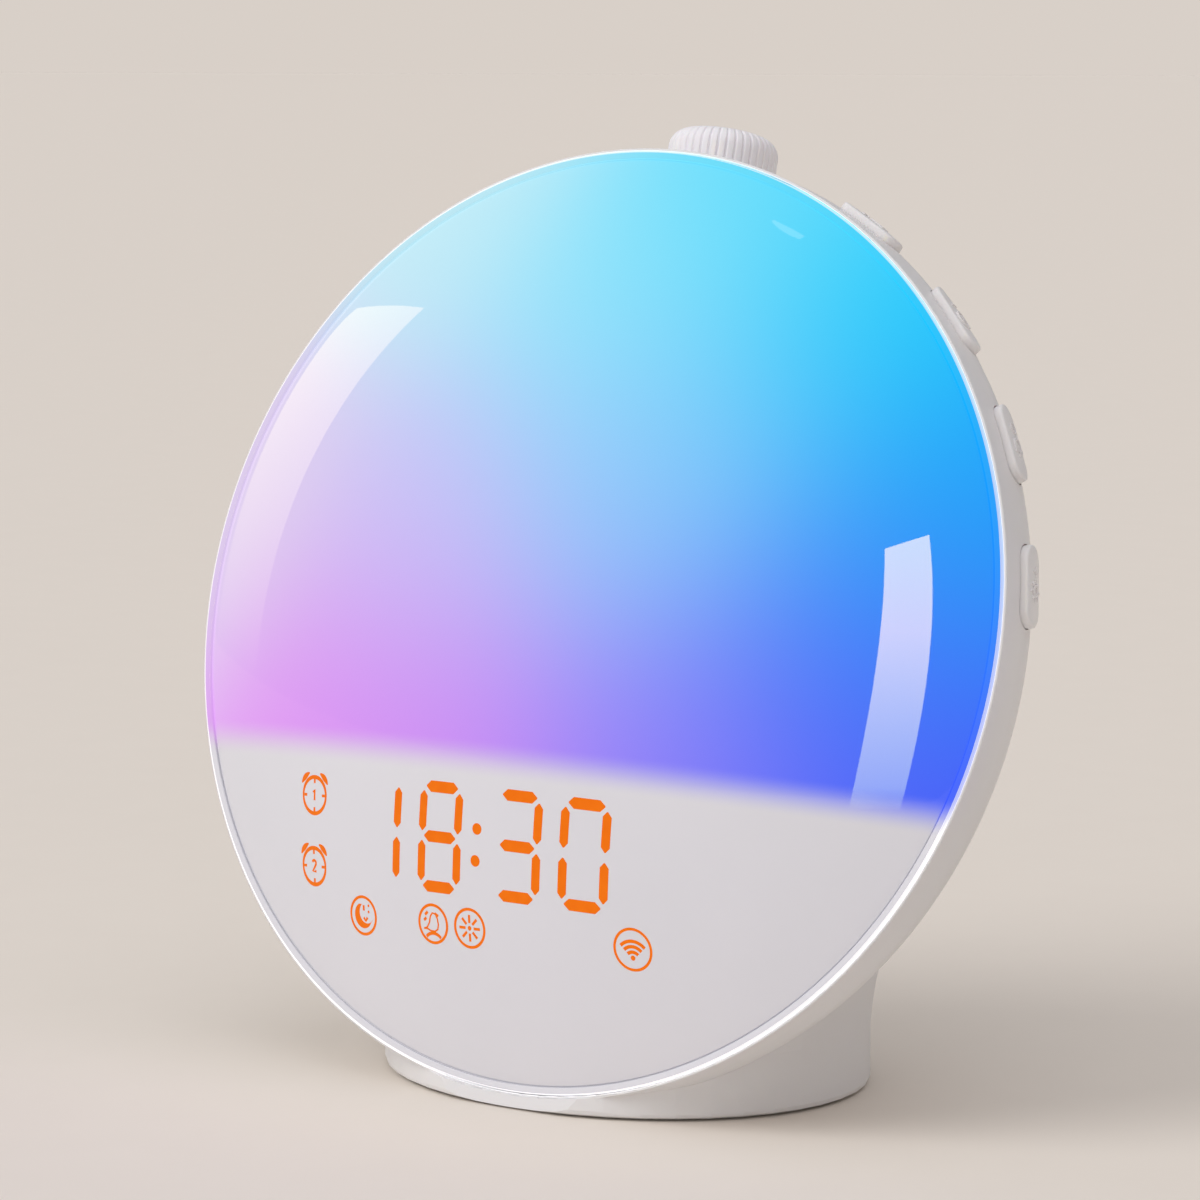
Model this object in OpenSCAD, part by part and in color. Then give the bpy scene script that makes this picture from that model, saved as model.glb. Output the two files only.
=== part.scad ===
// Sunrise alarm clock: a domed light face on a round, back-leaning body with an oval foot.
// All sizes are in millimetres. The origin is the centre of the foot's underside, +Z is up
// and the face looks towards -Y.

/* [Face] */
// Diameter of the round body at the lens rim
face_d = 180; // [176:1:184]
// Angle that the face leans back from upright
face_lean = 15; // [14:0.5:16]
// Distance of the rim's centre in front of the foot's centre
face_forward = 14.5; // [13:0.5:16]
// Height of the rim's lowest point above the floor
rim_lift = 2.2; // [1.8:0.1:3]
// Height of the lens dome in front of the rim
lens_sag = 23; // [21:0.5:25]
// Wall thickness of the lens
lens_t = 2.2; // [1.8:0.1:2.6]

/* [Body] */
// Wall thickness of the main housing
wall = 2.2; // [2:0.1:2.6]
// Depth of the straight band behind the rim
band_depth = 5.8; // [5.5:0.1:6.2]
// Depth of the curved back behind that band
back_depth = 34.9; // [34:0.5:37]
// Radius of the round rear cover
cover_r = 34; // [33:0.5:35]
// Height of the rear cover's middle above the rim's centre, up the face
cover_rise = 20; // [19:0.5:21]

/* [Foot] */
// Width of the oval foot
foot_w = 98.4; // [96:0.2:100]
// Depth of the oval foot from front to back
foot_d = 81.2; // [80:0.2:82]
// Height of the foot's upright side before it starts to widen
foot_side_h = 12; // [11:0.5:13]
// Height at which the neck has run out into the body's back
neck_top = 64; // [62:1:66]
// How far the rubber pad stands out under the foot
rubber_gap = 0.4; // [0.3:0.1:0.6]

/* [Buttons] */
// Length of a side button
button_l = 15; // [14:0.5:16]
// Width of a side button
button_w = 6.4; // [6:0.1:6.5]
// Height of a button's face above the body
button_proud = 1.5; // [1.2:0.1:1.8]
// Travel of a button
button_travel = 0.6; // [0.4:0.1:0.6]
// Angle between two neighbouring buttons round the rim
button_pitch = 17; // [16.5:0.5:17.5]

/* [Knob] */
// Diameter of the knob
knob_d = 21.4; // [20.6:0.1:22]
// Distance of the knob's top from the rim's centre
knob_reach = 98.7; // [98:0.1:100]
// Number of flutes round the knob
flutes = 40; // [32:1:44]

/* [Display] */
// Height of a digit between the middles of its top and bottom bars
digit_h = 18.2; // [17:0.1:19]
// Width of a digit between the middles of its side bars
digit_w = 8.4; // [8:0.1:9]
// Width of one bar of a digit
bar_w = 1.9; // [1.6:0.1:2]

/* [Speaker] */
// Diameter of the speaker's frame
speaker_d = 50; // [48:1:50]
// Number of rings of holes in the grille round its middle hole
grille_rings = 4; // [3:1:4]

/* [Hidden] */
$fn = 96;
small_fn = 32;
body_fn = 192;
far = 200;

// Rim, lens and body, measured in the face's own frame: z is 0 in the rim's plane
face_r = face_d / 2;
face_z = rim_lift + face_r * cos(face_lean);
lip_r = face_r - 0.7;
rebate_r = face_r - 0.55;
rebate_depth = 3;
dome_r = face_r - 2.4;
dome_edge_z = 0.6;
dome_ball_r = (dome_r * dome_r + pow(lens_sag - dome_edge_z, 2)) / (2 * (lens_sag - dome_edge_z));
dome_ball_z = lens_sag - dome_ball_r;
skirt_r = face_r - 3.4;
lip_inner = dome_r + 0.3;
lip_h = 0.8;
lip_edge = 0.35;
rim_bead = 0.33;

// Light tray: a plate behind the lens, with a wall between the light and the display
tray_t = 1.6;
tray_front = -rebate_depth - 0.2;
tray_back = tray_front - tray_t;
tray_r = face_r - wall - 0.4;
divider_y = -0.33 * face_r;
light_gap = 1.2;
post_rho = 77;
post_angles = [78, 102, -12, -42, -138, -168];
post_r = 3.2;
screw_r = 1.1;
thread_r = 1.13;
divider_t = 1.6;
peg_r = 1.4;

// Foot and neck
foot_a = foot_w / 2;
foot_b = foot_d / 2;
foot_edge = 1.2;
neck_z = [for (h = [0, 0.45, foot_edge, foot_side_h - rubber_gap, 17, 22, 27, 33, 40, 48, 56, neck_top])
    rubber_gap + h];
neck_sides = 44;
neck_inner_sides = 24;
neck_back_y = 17;
foot_lip = 1;
floor_t = 3.4;
floor_top = rubber_gap + floor_t;
neck_inner_s = 8;

// Rubber pad and base plate, both ovals round base_y
base_y = 2;
pad = [46, 34.5];
pad_t = 1.2;
pad_gap = 0.1;
base_a = 38.5;
base_b = 27;
base_t = 1.5;
base_gap = 0.2;
base_top = pad_t + base_t;
ledge_w = 3;
base_screw_angle = 45;
base_screw_edge = 3.5;
head_pocket_r = 2.6;
base_head_z = pad_t + 0.75;

// Rear cover and its seat
cover_t = 2;
cover_gap = 0.15;
seat_r = cover_r - 6;
seat_t = 2;
cover_screw_rho = cover_r - 3.4;
cover_screw_angles = [90, 210, 330];
cover_screw_l = 7;
cover_head_depth = 1.1;

// Buttons, key boards and switches, by distance rho from the face's axis
button_s = 8.2;
button_first = 8.5;
button_count = 4;
slot_gap = 0.25;
flange_l = button_l + 2.8;
flange_w = button_w - 0.4;
flange_rho = 85.6;
cap_rho = 85.4;
stem_rho = 82.45;
switch_rho = 74;
switch_top_rho = 80;
switch_w = 6;
switch_h = 4.2;
plunger_r = 1.25;
plunger_hole_r = 1.3;
plunger_gap = 0.05;
key_board_s = button_s + switch_h / 2;
key_board_t = 1.6;
key_board_rho = 68;

// Knob and encoder, by height along the knob's axis from the level of the rim's centre
knob_s = 24;
collar_r = 9;
collar_top = 87.6;
collar_bore_r = 7.6;
collar_plate = 2.4;
knob_bottom = 88.8;
knob_hollow_r = 8.2;
knob_hollow_top = 92;
knob_edge_r = 3.6;
flute_depth = 0.5;
flute_w = 0.5;
shaft_r = 3;
shaft_top = knob_reach - 1.9;
shaft_bottom = 82.2;
bush_r = 3.5;
bush_top = 89.8;
nut_h = 1.6;
encoder_w = 10;
encoder_h = 5;
encoder_top = collar_top - collar_plate;
encoder_cavity_r = 3.4;
actuator_t = 0.7;

// Display behind the lower part of the lens
case_x = [-53, 40];
case_y = [-66, -33];
case_wall = 1.6;
case_front = 2;
case_gap = 1;
display_board_z = 0;
display_board_t = 1.6;
digit_y = -44.9;
digit_x = [-27.6, -12.6, 5.3, 19.5];
digit_lean = 0.05;
colon_x = -3.95;
colon_step = 2.9;
icon_spots = [[-46.5, -39.7], [-46.8, -53], [-33, -61], [-14.7, -60.8], [-5.9, -60.7], [29, -60.4]];
icon_r = 3.5;

// Light board
light_board_r = 74;
light_board_t = 1.2;
light_board_y = -22;
led_rings = [[0, 1], [22, 8], [43, 16], [64, 24]];
led_w = 3.2;
led_h = 0.9;

// Main board
board_w = 100;
board_h = 62;
board_s = 14.4;
board_t = 1.6;
board_y = 6;
board_post_x = 44;
board_post_y = 25;

// Speaker behind the rear cover, by depth behind the rim
speaker_r = speaker_d / 2;
speaker_flange_s = 31;
speaker_flange_t = 1.4;
gasket_t = 0.8;
speaker_back = speaker_flange_s + speaker_flange_t + gasket_t;
speaker_screw_rho = speaker_r - 2.1;
cone_r = 19;
cone_lip = 1.2;
cone_t = 0.8;
dust_cap_r = 6;
basket_t = 1.6;
magnet_r = 14;
magnet_s = 18;
magnet_t = 5;
grille_pitch = 4.4;
grille_hole_r = 1;

// Power inlet in the back of the foot
jack_w = 9;
jack_l = 11.4;
jack_h = 9;
jack_nose_r = 4;
jack_face_y = foot_b - 0.3;
jack_bore_r = 3.2;
jack_bore_l = 10.5;
jack_flange = 3.1;
jack_pin_r = 1;

// ---------------------------------------------------------------- places

// The face's frame: x to the right, y up the face, z out of the face
module on_face() {
    translate([0, -face_forward, face_z]) rotate([90 - face_lean, 0, 0]) children();
}

// The knob's frame: z up along the knob's axis
module on_knob_axis() {
    on_face() translate([0, 0, -knob_s]) rotate([-90, 0, 0]) children();
}

// A button's frame: z outwards from the face's axis, y along the rim. side is 1 right, -1 left
module at_button(side, i) {
    angle = button_first + button_pitch * (i - 1);
    on_face() rotate([0, 0, side > 0 ? angle : 180 - angle]) translate([0, 0, -button_s])
        rotate([0, 90, 0]) children();
}

// The rear cover's frame: as the face's, but moved up to the cover's middle
module on_cover() {
    on_face() translate([0, cover_rise, 0]) children();
}

// Depth of the body's back behind the rim at distance rho from the face's axis
function back_at(rho) = band_depth + back_depth * sqrt(1 - pow(rho / face_r, 2));

// Children stand where the rear cover's screws go, with z 0 under the screw's head
module at_cover_screws() {
    for (a = cover_screw_angles) {
        x = cover_screw_rho * cos(a);
        y = cover_rise + cover_screw_rho * sin(a);
        on_face() translate([x, y, cover_head_depth - back_at(norm([x, y]))]) children();
    }
}

// Children stand where the speaker's screws go
module at_speaker_screws() {
    on_cover() for (a = [45 : 90 : 315]) rotate([0, 0, a]) translate([speaker_screw_rho, 0, 0]) children();
}

// Children stand at angles round the face's axis, at distance rho
module round_face(angles, rho) {
    for (angle = angles) on_face() rotate([0, 0, angle]) translate([rho, 0, 0]) children();
}

// ---------------------------------------------------------------- shapes

// A cylinder along z between two heights
module rod(r, low, high) {
    translate([0, 0, low]) cylinder(r = r, h = high - low);
}

// An upright oval cylinder round base_y
module oval(half, low, high) {
    translate([0, base_y, low]) scale([1, half[1] / half[0], 1]) cylinder(r = half[0], h = high - low);
}

// The round body, drawn in by inset and carried front past the rim's plane
module bowl(inset = 0, front = 0) {
    r = face_r - inset;
    on_face() rotate_extrude($fn = body_fn) {
        translate([0, -band_depth]) square([r, band_depth + front]);
        intersection() {
            translate([0, -band_depth]) scale([1, (back_depth - inset) / r]) circle(r, $fn = body_fn);
            translate([0, -band_depth - back_depth]) square([r, back_depth]);
        }
    }
}

// A ball that follows the lens dome, drawn in by inset
module dome_ball(inset) {
    on_face() translate([0, 0, dome_ball_z]) sphere(dome_ball_r - inset);
}

// A slot-shaped prism along z, with its length along y
module pill(l, w, low, high) {
    translate([0, 0, low]) linear_extrude(high - low) {
        square([w, l - w], center = true);
        for (y = [-1, 1]) translate([0, y * (l - w) / 2]) circle(w / 2);
    }
}

// A smooth step from 0 at height za to 1 at height zb
function step(z, za, zb) = let (t = max(0, min(1, (z - za) / (zb - za)))) t * t * (3 - 2 * t);

// The neck's outline at height z: rounded in at the floor, wider under the body, run out above
function foot_round(z) = z >= rubber_gap + foot_edge ? 0
    : foot_edge - sqrt(max(0, pow(foot_edge, 2) - pow(rubber_gap + foot_edge - z, 2)));
function neck_half_w(z) = foot_a - foot_round(z) + 5 * step(z, foot_side_h, 34) - 35 * step(z, 28, neck_top);
function neck_back(z) = foot_b - foot_round(z) - (foot_b - neck_back_y) * step(z, 16, neck_top - 2);
function neck_front(z) = -foot_b + foot_round(z) + 8 * step(z, foot_side_h, neck_top);
function neck_ring(z, inset, n) = let (y0 = neck_front(z) + inset, y1 = neck_back(z) - inset)
    [for (k = [0 : n - 1]) [(neck_half_w(z) - inset) * cos(360 * k / n),
        (y0 + y1) / 2 + (y1 - y0) / 2 * sin(360 * k / n), z]];

// A solid skinned over a stack of rings of n points each
module skin(rings, n) {
    top = len(rings) - 1;
    polyhedron(
        points = [for (r = rings) each r],
        faces = concat(
            [[for (k = [0 : n - 1]) k], [for (k = [n - 1 : -1 : 0]) top * n + k]],
            [for (j = [0 : top - 1], k = [0 : n - 1]) [j * n + k, (j + 1) * n + k, j * n + (k + 1) % n]],
            [for (j = [0 : top - 1], k = [0 : n - 1])
                [j * n + (k + 1) % n, (j + 1) * n + k, (j + 1) * n + (k + 1) % n]]
        )
    );
}

// A pan-head screw: z is 0 under its head, the shank runs down z
module screw(head_r, head_h, shank_l, shank_r = screw_r) {
    rod(head_r, 0, head_h, $fn = small_fn);
    rod(shank_r, -shank_l, 0, $fn = small_fn);
}

// ---------------------------------------------------------------- front

// Domed lens with a flat lip round its edge and a skirt that stands in the housing's rebate
module front_lens() {
    color("lightcyan") on_face() rotate_extrude() {
        intersection() {
            difference() {
                translate([0, dome_ball_z]) circle(dome_ball_r);
                translate([0, dome_ball_z]) circle(dome_ball_r - lens_t);
            }
            translate([0, -rebate_depth]) square([dome_r, lens_sag + 2 * rebate_depth]);
        }
        translate([skirt_r, -rebate_depth]) square([lip_r - skirt_r, rebate_depth + 0.2]);
        translate([lip_inner, 0]) square([lip_r - lip_inner - lip_edge, lip_h]);
        translate([lip_inner, 0]) square([lip_r - lip_inner, lip_h - lip_edge]);
        translate([lip_r - lip_edge - 0.01, lip_h - lip_edge - 0.01]) circle(lip_edge, $fn = small_fn);
    }
}

// White plate that carries the light board and the display, with the wall between the two
module light_tray() {
    color("white") {
        difference() {
            union() {
                on_face() rod(tray_r, tray_back, tray_front);
                on_face() difference() {
                    rod(skirt_r - 0.3, tray_front, tray_front + 1.6);
                    rod(skirt_r - 1.7, tray_front - 1, tray_front + 2);
                }
                intersection() {
                    on_face() translate([-80, divider_y - divider_t / 2, tray_front - 0.1])
                        cube([160, divider_t, lens_sag + 4]);
                    dome_ball(lens_t + light_gap);
                }
            }
            round_face(post_angles, post_rho) rod(screw_r + 0.3, tray_back - 1, tray_front + 1, $fn = small_fn);
        }
        for (side = [0, 1]) mirror([side, 0, 0])
            round_face([button_first - button_pitch / 2 : 2 * button_pitch : 90], key_board_rho + 3)
                rod(peg_r, -key_board_s, tray_back, $fn = small_fn);
    }
}

module light_board() {
    color("whitesmoke") on_face() intersection() {
        rod(light_board_r, tray_front, tray_front + light_board_t);
        translate([-far, light_board_y, -far]) cube(2 * far);
    }
}

// Colour LEDs in rings on the light board
module light_leds() {
    color("ivory") on_face()
        for (ring = led_rings, k = [0 : ring[1] - 1]) {
            x = ring[0] * cos(360 * k / ring[1]);
            y = ring[0] * sin(360 * k / ring[1]);
            if (y > light_board_y + 4)
                translate([x - led_w / 2, y - led_w / 2, tray_front + light_board_t]) cube([led_w, led_w, led_h]);
        }
}

// ---------------------------------------------------------------- display

// The bars of one digit that has all seven, with pointed ends, about its middle
module bar(length) {
    half = length / 2 - 0.35;
    polygon([[-half, 0], [-half + bar_w / 2, bar_w / 2], [half - bar_w / 2, bar_w / 2],
        [half, 0], [half - bar_w / 2, -bar_w / 2], [-half + bar_w / 2, -bar_w / 2]]);
}

module digit_bars() {
    for (row = [-1, 0, 1]) translate([row * digit_h / 2 * digit_lean, row * digit_h / 2]) bar(digit_w);
    for (side = [-1, 1], row = [-1, 1])
        translate([side * digit_w / 2 + row * digit_h / 4 * digit_lean, row * digit_h / 4])
            rotate(90 - atan(digit_lean)) bar(digit_h / 2);
}

// Everything that the display can show, as windows
module display_windows() {
    for (x = digit_x) translate([x, digit_y]) digit_bars();
    for (row = [-1, 1]) translate([colon_x + row * colon_step * digit_lean, digit_y + row * colon_step])
        circle(bar_w / 2, $fn = small_fn);
    for (p = icon_spots) translate(p) circle(icon_r, $fn = small_fn);
}

module case_block(inset, low) {
    on_face() intersection() {
        translate([case_x[0] + inset, case_y[0] + inset, low])
            cube([case_x[1] - case_x[0] - 2 * inset, case_y[1] - case_y[0] - 2 * inset, lens_sag]);
        rod(82 - inset, low, lens_sag);
    }
}

// White display case: its front follows the lens, and holes in it shape the digits and signs
module display_case() {
    color("white") difference() {
        intersection() {
            case_block(0, tray_front);
            dome_ball(lens_t + case_gap);
        }
        intersection() {
            case_block(case_wall, tray_front - 1);
            dome_ball(lens_t + case_gap + case_front);
        }
        on_face() linear_extrude(lens_sag) display_windows();
    }
}

module display_board() {
    color("seagreen") on_face() {
        translate([case_x[0] + 4, case_y[0] + 6, display_board_z - display_board_t])
            cube([case_x[1] - case_x[0] - 8, case_y[1] - case_y[0] - 8, display_board_t]);
        for (x = [case_x[0] + 8, case_x[1] - 8], y = [case_y[0] + 10, case_y[1] - 6])
            translate([x, y, 0]) rod(1.5, tray_front, display_board_z - display_board_t, $fn = small_fn);
    }
}

// One small orange LED behind each bar, dot and sign
module display_leds() {
    color("orange") on_face() translate([0, 0, display_board_z]) {
        for (x = digit_x, row = [-1, 0, 1]) translate([x + row * digit_h / 2 * digit_lean, digit_y + row * digit_h / 2])
            display_led();
        for (x = digit_x, side = [-1, 1], row = [-1, 1])
            translate([x + side * digit_w / 2, digit_y + row * digit_h / 4]) display_led();
        for (row = [-1, 1]) translate([colon_x, digit_y + row * colon_step]) display_led();
        for (p = icon_spots) translate([p[0], max(p[1], case_y[0] + 7)]) display_led();
    }
}

module display_led() {
    translate([-0.8, -0.4, 0]) cube([1.6, 0.8, 0.7]);
}

// ---------------------------------------------------------------- housing

// Outside of the foot and of the neck that runs up into the body's back
module neck_outside() {
    skin([for (z = neck_z) neck_ring(z, 0, neck_sides)], neck_sides);
}

// Inside of the foot and neck, open upwards into the body. It stops behind the rim's band
module neck_inside() {
    inset = wall + 0.3;
    inner_z = concat([floor_top], [for (z = neck_z) if (z > foot_side_h - 1) z]);
    intersection() {
        skin([for (z = inner_z) neck_ring(z, inset, neck_inner_sides)], neck_inner_sides);
        on_face() translate([-far, -far, -2 * far - neck_inner_s]) cube(2 * far);
    }
}

// Body, foot and knob collar as one outside form
module housing_outside() {
    difference() {
        union() {
            bowl();
            on_face() rotate_extrude($fn = body_fn) translate([face_r - rim_bead + 0.05, 0]) circle(rim_bead);
            difference() {
                neck_outside();
                on_face() cylinder(r = face_r, h = far);
            }
            on_knob_axis() rod(collar_r, 60, collar_top);
        }
        on_face() translate([-far, -far, foot_lip]) cube(2 * far);
        translate([-far, -far, rubber_gap - 2 * far]) cube(2 * far);
    }
}

// Thicker ring round the rear opening, which the rear cover rests on, with pillars for its screws
module cover_seat() {
    difference() {
        intersection() {
            bowl(cover_t);
            union() {
                difference() {
                    on_cover() rod(cover_r + 3, -far, -20);
                    bowl(cover_t + seat_t);
                    on_cover() rod(seat_r, -far, 0);
                }
                at_cover_screws() rod(post_r, -far, cover_screw_l + 1, $fn = small_fn);
            }
        }
        at_cover_screws() rod(thread_r, -far, cover_screw_l + 0.3, $fn = small_fn);
    }
}

// Posts for the tray and the main board, from the body's back
module housing_posts() {
    difference() {
        intersection() {
            bowl(wall / 2);
            union() {
                round_face(post_angles, post_rho) rod(post_r, -far, tray_back, $fn = small_fn);
                at_board_screws() rod(post_r, -far, 0, $fn = small_fn);
            }
        }
        round_face(post_angles, post_rho) rod(thread_r, tray_back - 7, tray_back + 1, $fn = small_fn);
        at_board_screws() rod(thread_r, -7, 1, $fn = small_fn);
    }
}

// Pillars in the foot for the base plate's screws
module foot_pillars() {
    at_base_screws() difference() {
        rod(post_r, base_top, floor_top + 6, $fn = small_fn);
        rod(thread_r, 0, floor_top + 5, $fn = small_fn);
    }
}

// Children stand where the base plate's screws go
module at_base_screws() {
    a = base_a - base_screw_edge;
    b = base_b - base_screw_edge;
    for (x = [-1, 1], y = [-1, 1])
        translate([x * a * cos(base_screw_angle), base_y + y * b * sin(base_screw_angle), 0]) children();
}

// Children stand where the main board's screws go, with z 0 at the board's back
module at_board_screws() {
    on_face() for (x = [-1, 1], y = [-1, 1])
        translate([x * board_post_x, board_y + y * board_post_y, -board_s - board_t]) children();
}

// White one-piece housing: round body, foot with its neck, button slots and the knob's collar
module main_housing() {
    color("white") {
        difference() {
            housing_outside();
            bowl(wall, 5);
            neck_inside();
            // Rebate for the lens
            on_face() rod(rebate_r, -rebate_depth, far);
            // Rear opening
            on_cover() rod(cover_r, -far, -20);
            // Slots for the buttons
            for (side = [-1, 1], i = [1 : button_count])
                at_button(side, i) pill(button_l + 2 * slot_gap, button_w + 2 * slot_gap, cap_rho - 4, far / 2);
            // Bore of the collar and the hole for the encoder's bush
            on_knob_axis() rod(collar_bore_r, 55, encoder_top);
            on_knob_axis() rod(bush_r + 0.15, encoder_top - 1, collar_top + 1);
            // Recesses for the rubber pad and the base plate, and the opening behind the plate
            oval(pad, -1, pad_t);
            oval([base_a + base_gap, base_b + base_gap], 0, base_top);
            oval([base_a - ledge_w, base_b - ledge_w], 0, floor_top + 1);
            at_base_screws() rod(thread_r, 0, floor_top + 1, $fn = small_fn);
            // Hole for the power inlet
            translate([0, jack_face_y + 2, floor_top + jack_h / 2]) rotate([90, 0, 0])
                cylinder(r = jack_nose_r + 0.15, h = 12);
        }
        cover_seat();
        housing_posts();
        foot_pillars();
    }
}

// Round cover in the back, with the speaker's grille
module rear_cover() {
    color("white") difference() {
        union() {
            intersection() {
                difference() {
                    bowl();
                    bowl(cover_t);
                }
                on_cover() rod(cover_r - cover_gap, -far, -20);
            }
            intersection() {
                bowl(cover_t / 2);
                on_cover() difference() {
                    rod(speaker_r, -far, -speaker_back);
                    rod(cone_r + 1, -far, 0);
                }
            }
        }
        on_cover() for (ring = [0 : grille_rings], k = [0 : max(1, 6 * ring) - 1])
            rotate([0, 0, 60 * k / max(1, ring)]) translate([ring * grille_pitch, 0, 0])
                rod(grille_hole_r, -far, -speaker_flange_s, $fn = small_fn);
        at_cover_screws() {
            rod(screw_r + 0.25, -far, far, $fn = small_fn);
            rod(head_pocket_r, -far, 0, $fn = small_fn);
        }
        at_speaker_screws() rod(thread_r, -speaker_flange_s - 5, 0, $fn = small_fn);
    }
}

// Oval plate that closes the foot
module base_plate() {
    color("gainsboro") difference() {
        oval([base_a, base_b], pad_t, base_top);
        at_base_screws() {
            rod(screw_r + 0.25, 0, base_top + 1, $fn = small_fn);
            rod(head_pocket_r, 0, base_head_z, $fn = small_fn);
        }
    }
}

// Rubber pad under the foot, over the base plate and its screws. Its underside is cut level
module rubber_foot() {
    color("dimgray") difference() {
        oval([pad[0] - pad_gap, pad[1] - pad_gap], -1, pad_t);
        translate([-far, -far, -2 * far]) cube(2 * far);
    }
}

// ---------------------------------------------------------------- buttons

// Cap with a face that follows the body, a flange behind the wall and a stem for its switch
module button(side, i) {
    color("whitesmoke") {
        intersection() {
            bowl(-button_proud);
            at_button(side, i) pill(button_l, button_w, cap_rho, far / 2);
        }
        intersection() {
            bowl(wall + 0.2);
            at_button(side, i) pill(flange_l, flange_w, flange_rho, far / 2);
        }
        at_button(side, i) rod(2, stem_rho, flange_rho + 0.5, $fn = small_fn);
    }
}

// Plunger of one switch, pushed by the cap's stem
module plunger(side, i) {
    color("black") at_button(side, i)
        rod(plunger_r, switch_top_rho - 2 + button_travel + plunger_gap, stem_rho, $fn = small_fn);
}

// Curved board on the tray's pegs that carries one side's switches
module key_board(side) {
    span = button_pitch * button_count + 6;
    color("seagreen") mirror([side > 0 ? 0 : 1, 0, 0]) on_face()
        translate([0, 0, -key_board_s - key_board_t]) rotate([0, 0, -3])
            rotate_extrude(angle = span) translate([key_board_rho, 0])
                square([switch_top_rho + 0.5 - key_board_rho, key_board_t]);
}

// Four right-angle switches of one side, each with a hole for its plunger
module switches(side) {
    color("dimgray") for (i = [1 : button_count]) at_button(side, i) difference() {
        translate([-switch_h / 2, -switch_w / 2, switch_rho]) cube([switch_h, switch_w, switch_top_rho - switch_rho]);
        rod(plunger_hole_r, switch_top_rho - 2, switch_top_rho + 1, $fn = small_fn);
    }
}

// ---------------------------------------------------------------- knob

// Fluted knob, hollow underneath
module knob() {
    color("white") on_knob_axis() difference() {
        intersection() {
            translate([0, 0, knob_bottom]) linear_extrude(knob_reach - knob_bottom) difference() {
                circle(knob_d / 2 + 1);
                for (k = [0 : flutes - 1]) rotate(360 * k / flutes) translate([knob_d / 2, 0])
                    polygon([[-flute_depth, 0], [2, flute_w * 2], [2, -flute_w * 2]]);
            }
            knob_round();
        }
        rod(knob_hollow_r, knob_bottom - 1, knob_hollow_top);
        rod(shaft_r + 0.02, knob_bottom - 1, shaft_top + 0.1);
    }
}

// The knob's turned form, with a rounded upper edge
module knob_round() {
    r = knob_d / 2;
    rotate_extrude() {
        translate([0, knob_bottom]) square([r, knob_reach - knob_edge_r - knob_bottom]);
        translate([0, knob_reach - knob_edge_r]) square([r - knob_edge_r, knob_edge_r]);
        intersection() {
            translate([r - knob_edge_r, knob_reach - knob_edge_r]) circle(knob_edge_r);
            translate([r - knob_edge_r, knob_reach - knob_edge_r]) square(knob_edge_r);
        }
    }
}

module encoder_shaft() {
    color("silver") on_knob_axis() rod(shaft_r, shaft_bottom, shaft_top);
}

// Small disc under the shaft that works the push switch
module encoder_actuator() {
    color("black") on_knob_axis()
        rod(2.5, shaft_bottom - 0.05 - actuator_t, shaft_bottom - 0.05, $fn = small_fn);
}

module encoder_body() {
    color("darkgray") on_knob_axis() difference() {
        union() {
            translate([-encoder_w / 2, -encoder_w / 2, encoder_top - encoder_h])
                cube([encoder_w, encoder_w, encoder_h]);
            rod(bush_r, encoder_top - 1, bush_top);
        }
        rod(encoder_cavity_r, encoder_top - encoder_h + 0.6, encoder_top - 0.8, $fn = small_fn);
        rod(shaft_r + 0.05, encoder_top - 2, bush_top + 1);
    }
}

module encoder_nut() {
    color("silver") on_knob_axis() difference() {
        translate([0, 0, collar_top]) cylinder(r = 5.6, h = nut_h, $fn = 6);
        rod(bush_r + 0.05, collar_top - 1, collar_top + nut_h + 1);
    }
}

module encoder_board() {
    color("seagreen") on_knob_axis()
        rod(collar_bore_r - 0.3, encoder_top - encoder_h - 1.6, encoder_top - encoder_h);
}

// ---------------------------------------------------------------- electronics

module main_board() {
    color("seagreen") difference() {
        on_face() translate([-board_w / 2, board_y - board_h / 2, -board_s - board_t])
            cube([board_w, board_h, board_t]);
        at_board_screws() rod(screw_r + 0.25, -1, board_t + 1, $fn = small_fn);
    }
}

// Parts on the main board: capacitors, a choke, chips and plugs for the leads
module board_parts() {
    color("dimgray") on_face() translate([0, board_y, -board_s]) {
        for (x = [30, 38]) translate([x, 8, 0]) rod(3, 0, 8, $fn = small_fn);
        translate([26, -12, 0]) cube([9, 9, 4]);
        translate([-6, -7, 0]) cube([12, 12, 1.4]);
        translate([12, -4, 0]) cube([7, 5, 1.4]);
        for (x = [-34 : 14 : 22]) translate([x, -29, 0]) cube([9, 4.5, 5.5]);
    }
}

module wifi_module() {
    color("silver") on_face() translate([-40, board_y + 8, -board_s]) {
        cube([24, 16, 0.8]);
        translate([1, 1, 0.8]) cube([15, 14, 2.2]);
    }
}

// Holder of the cell that keeps the time when the power is off
module coin_cell_holder() {
    color("black") on_face() translate([6, board_y + 17, -board_s]) difference() {
        rod(11.5, 0, 4.6);
        rod(10.2, 1.2, 5);
    }
}

module coin_cell() {
    color("silver") on_face() translate([6, board_y + 17, -board_s]) rod(10, 1.2, 4.4);
}

// ---------------------------------------------------------------- speaker

// Four holes for the speaker's screws
module speaker_screw_holes() {
    at_speaker_screws() rod(screw_r + 0.25, -far, 0, $fn = small_fn);
}

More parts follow.
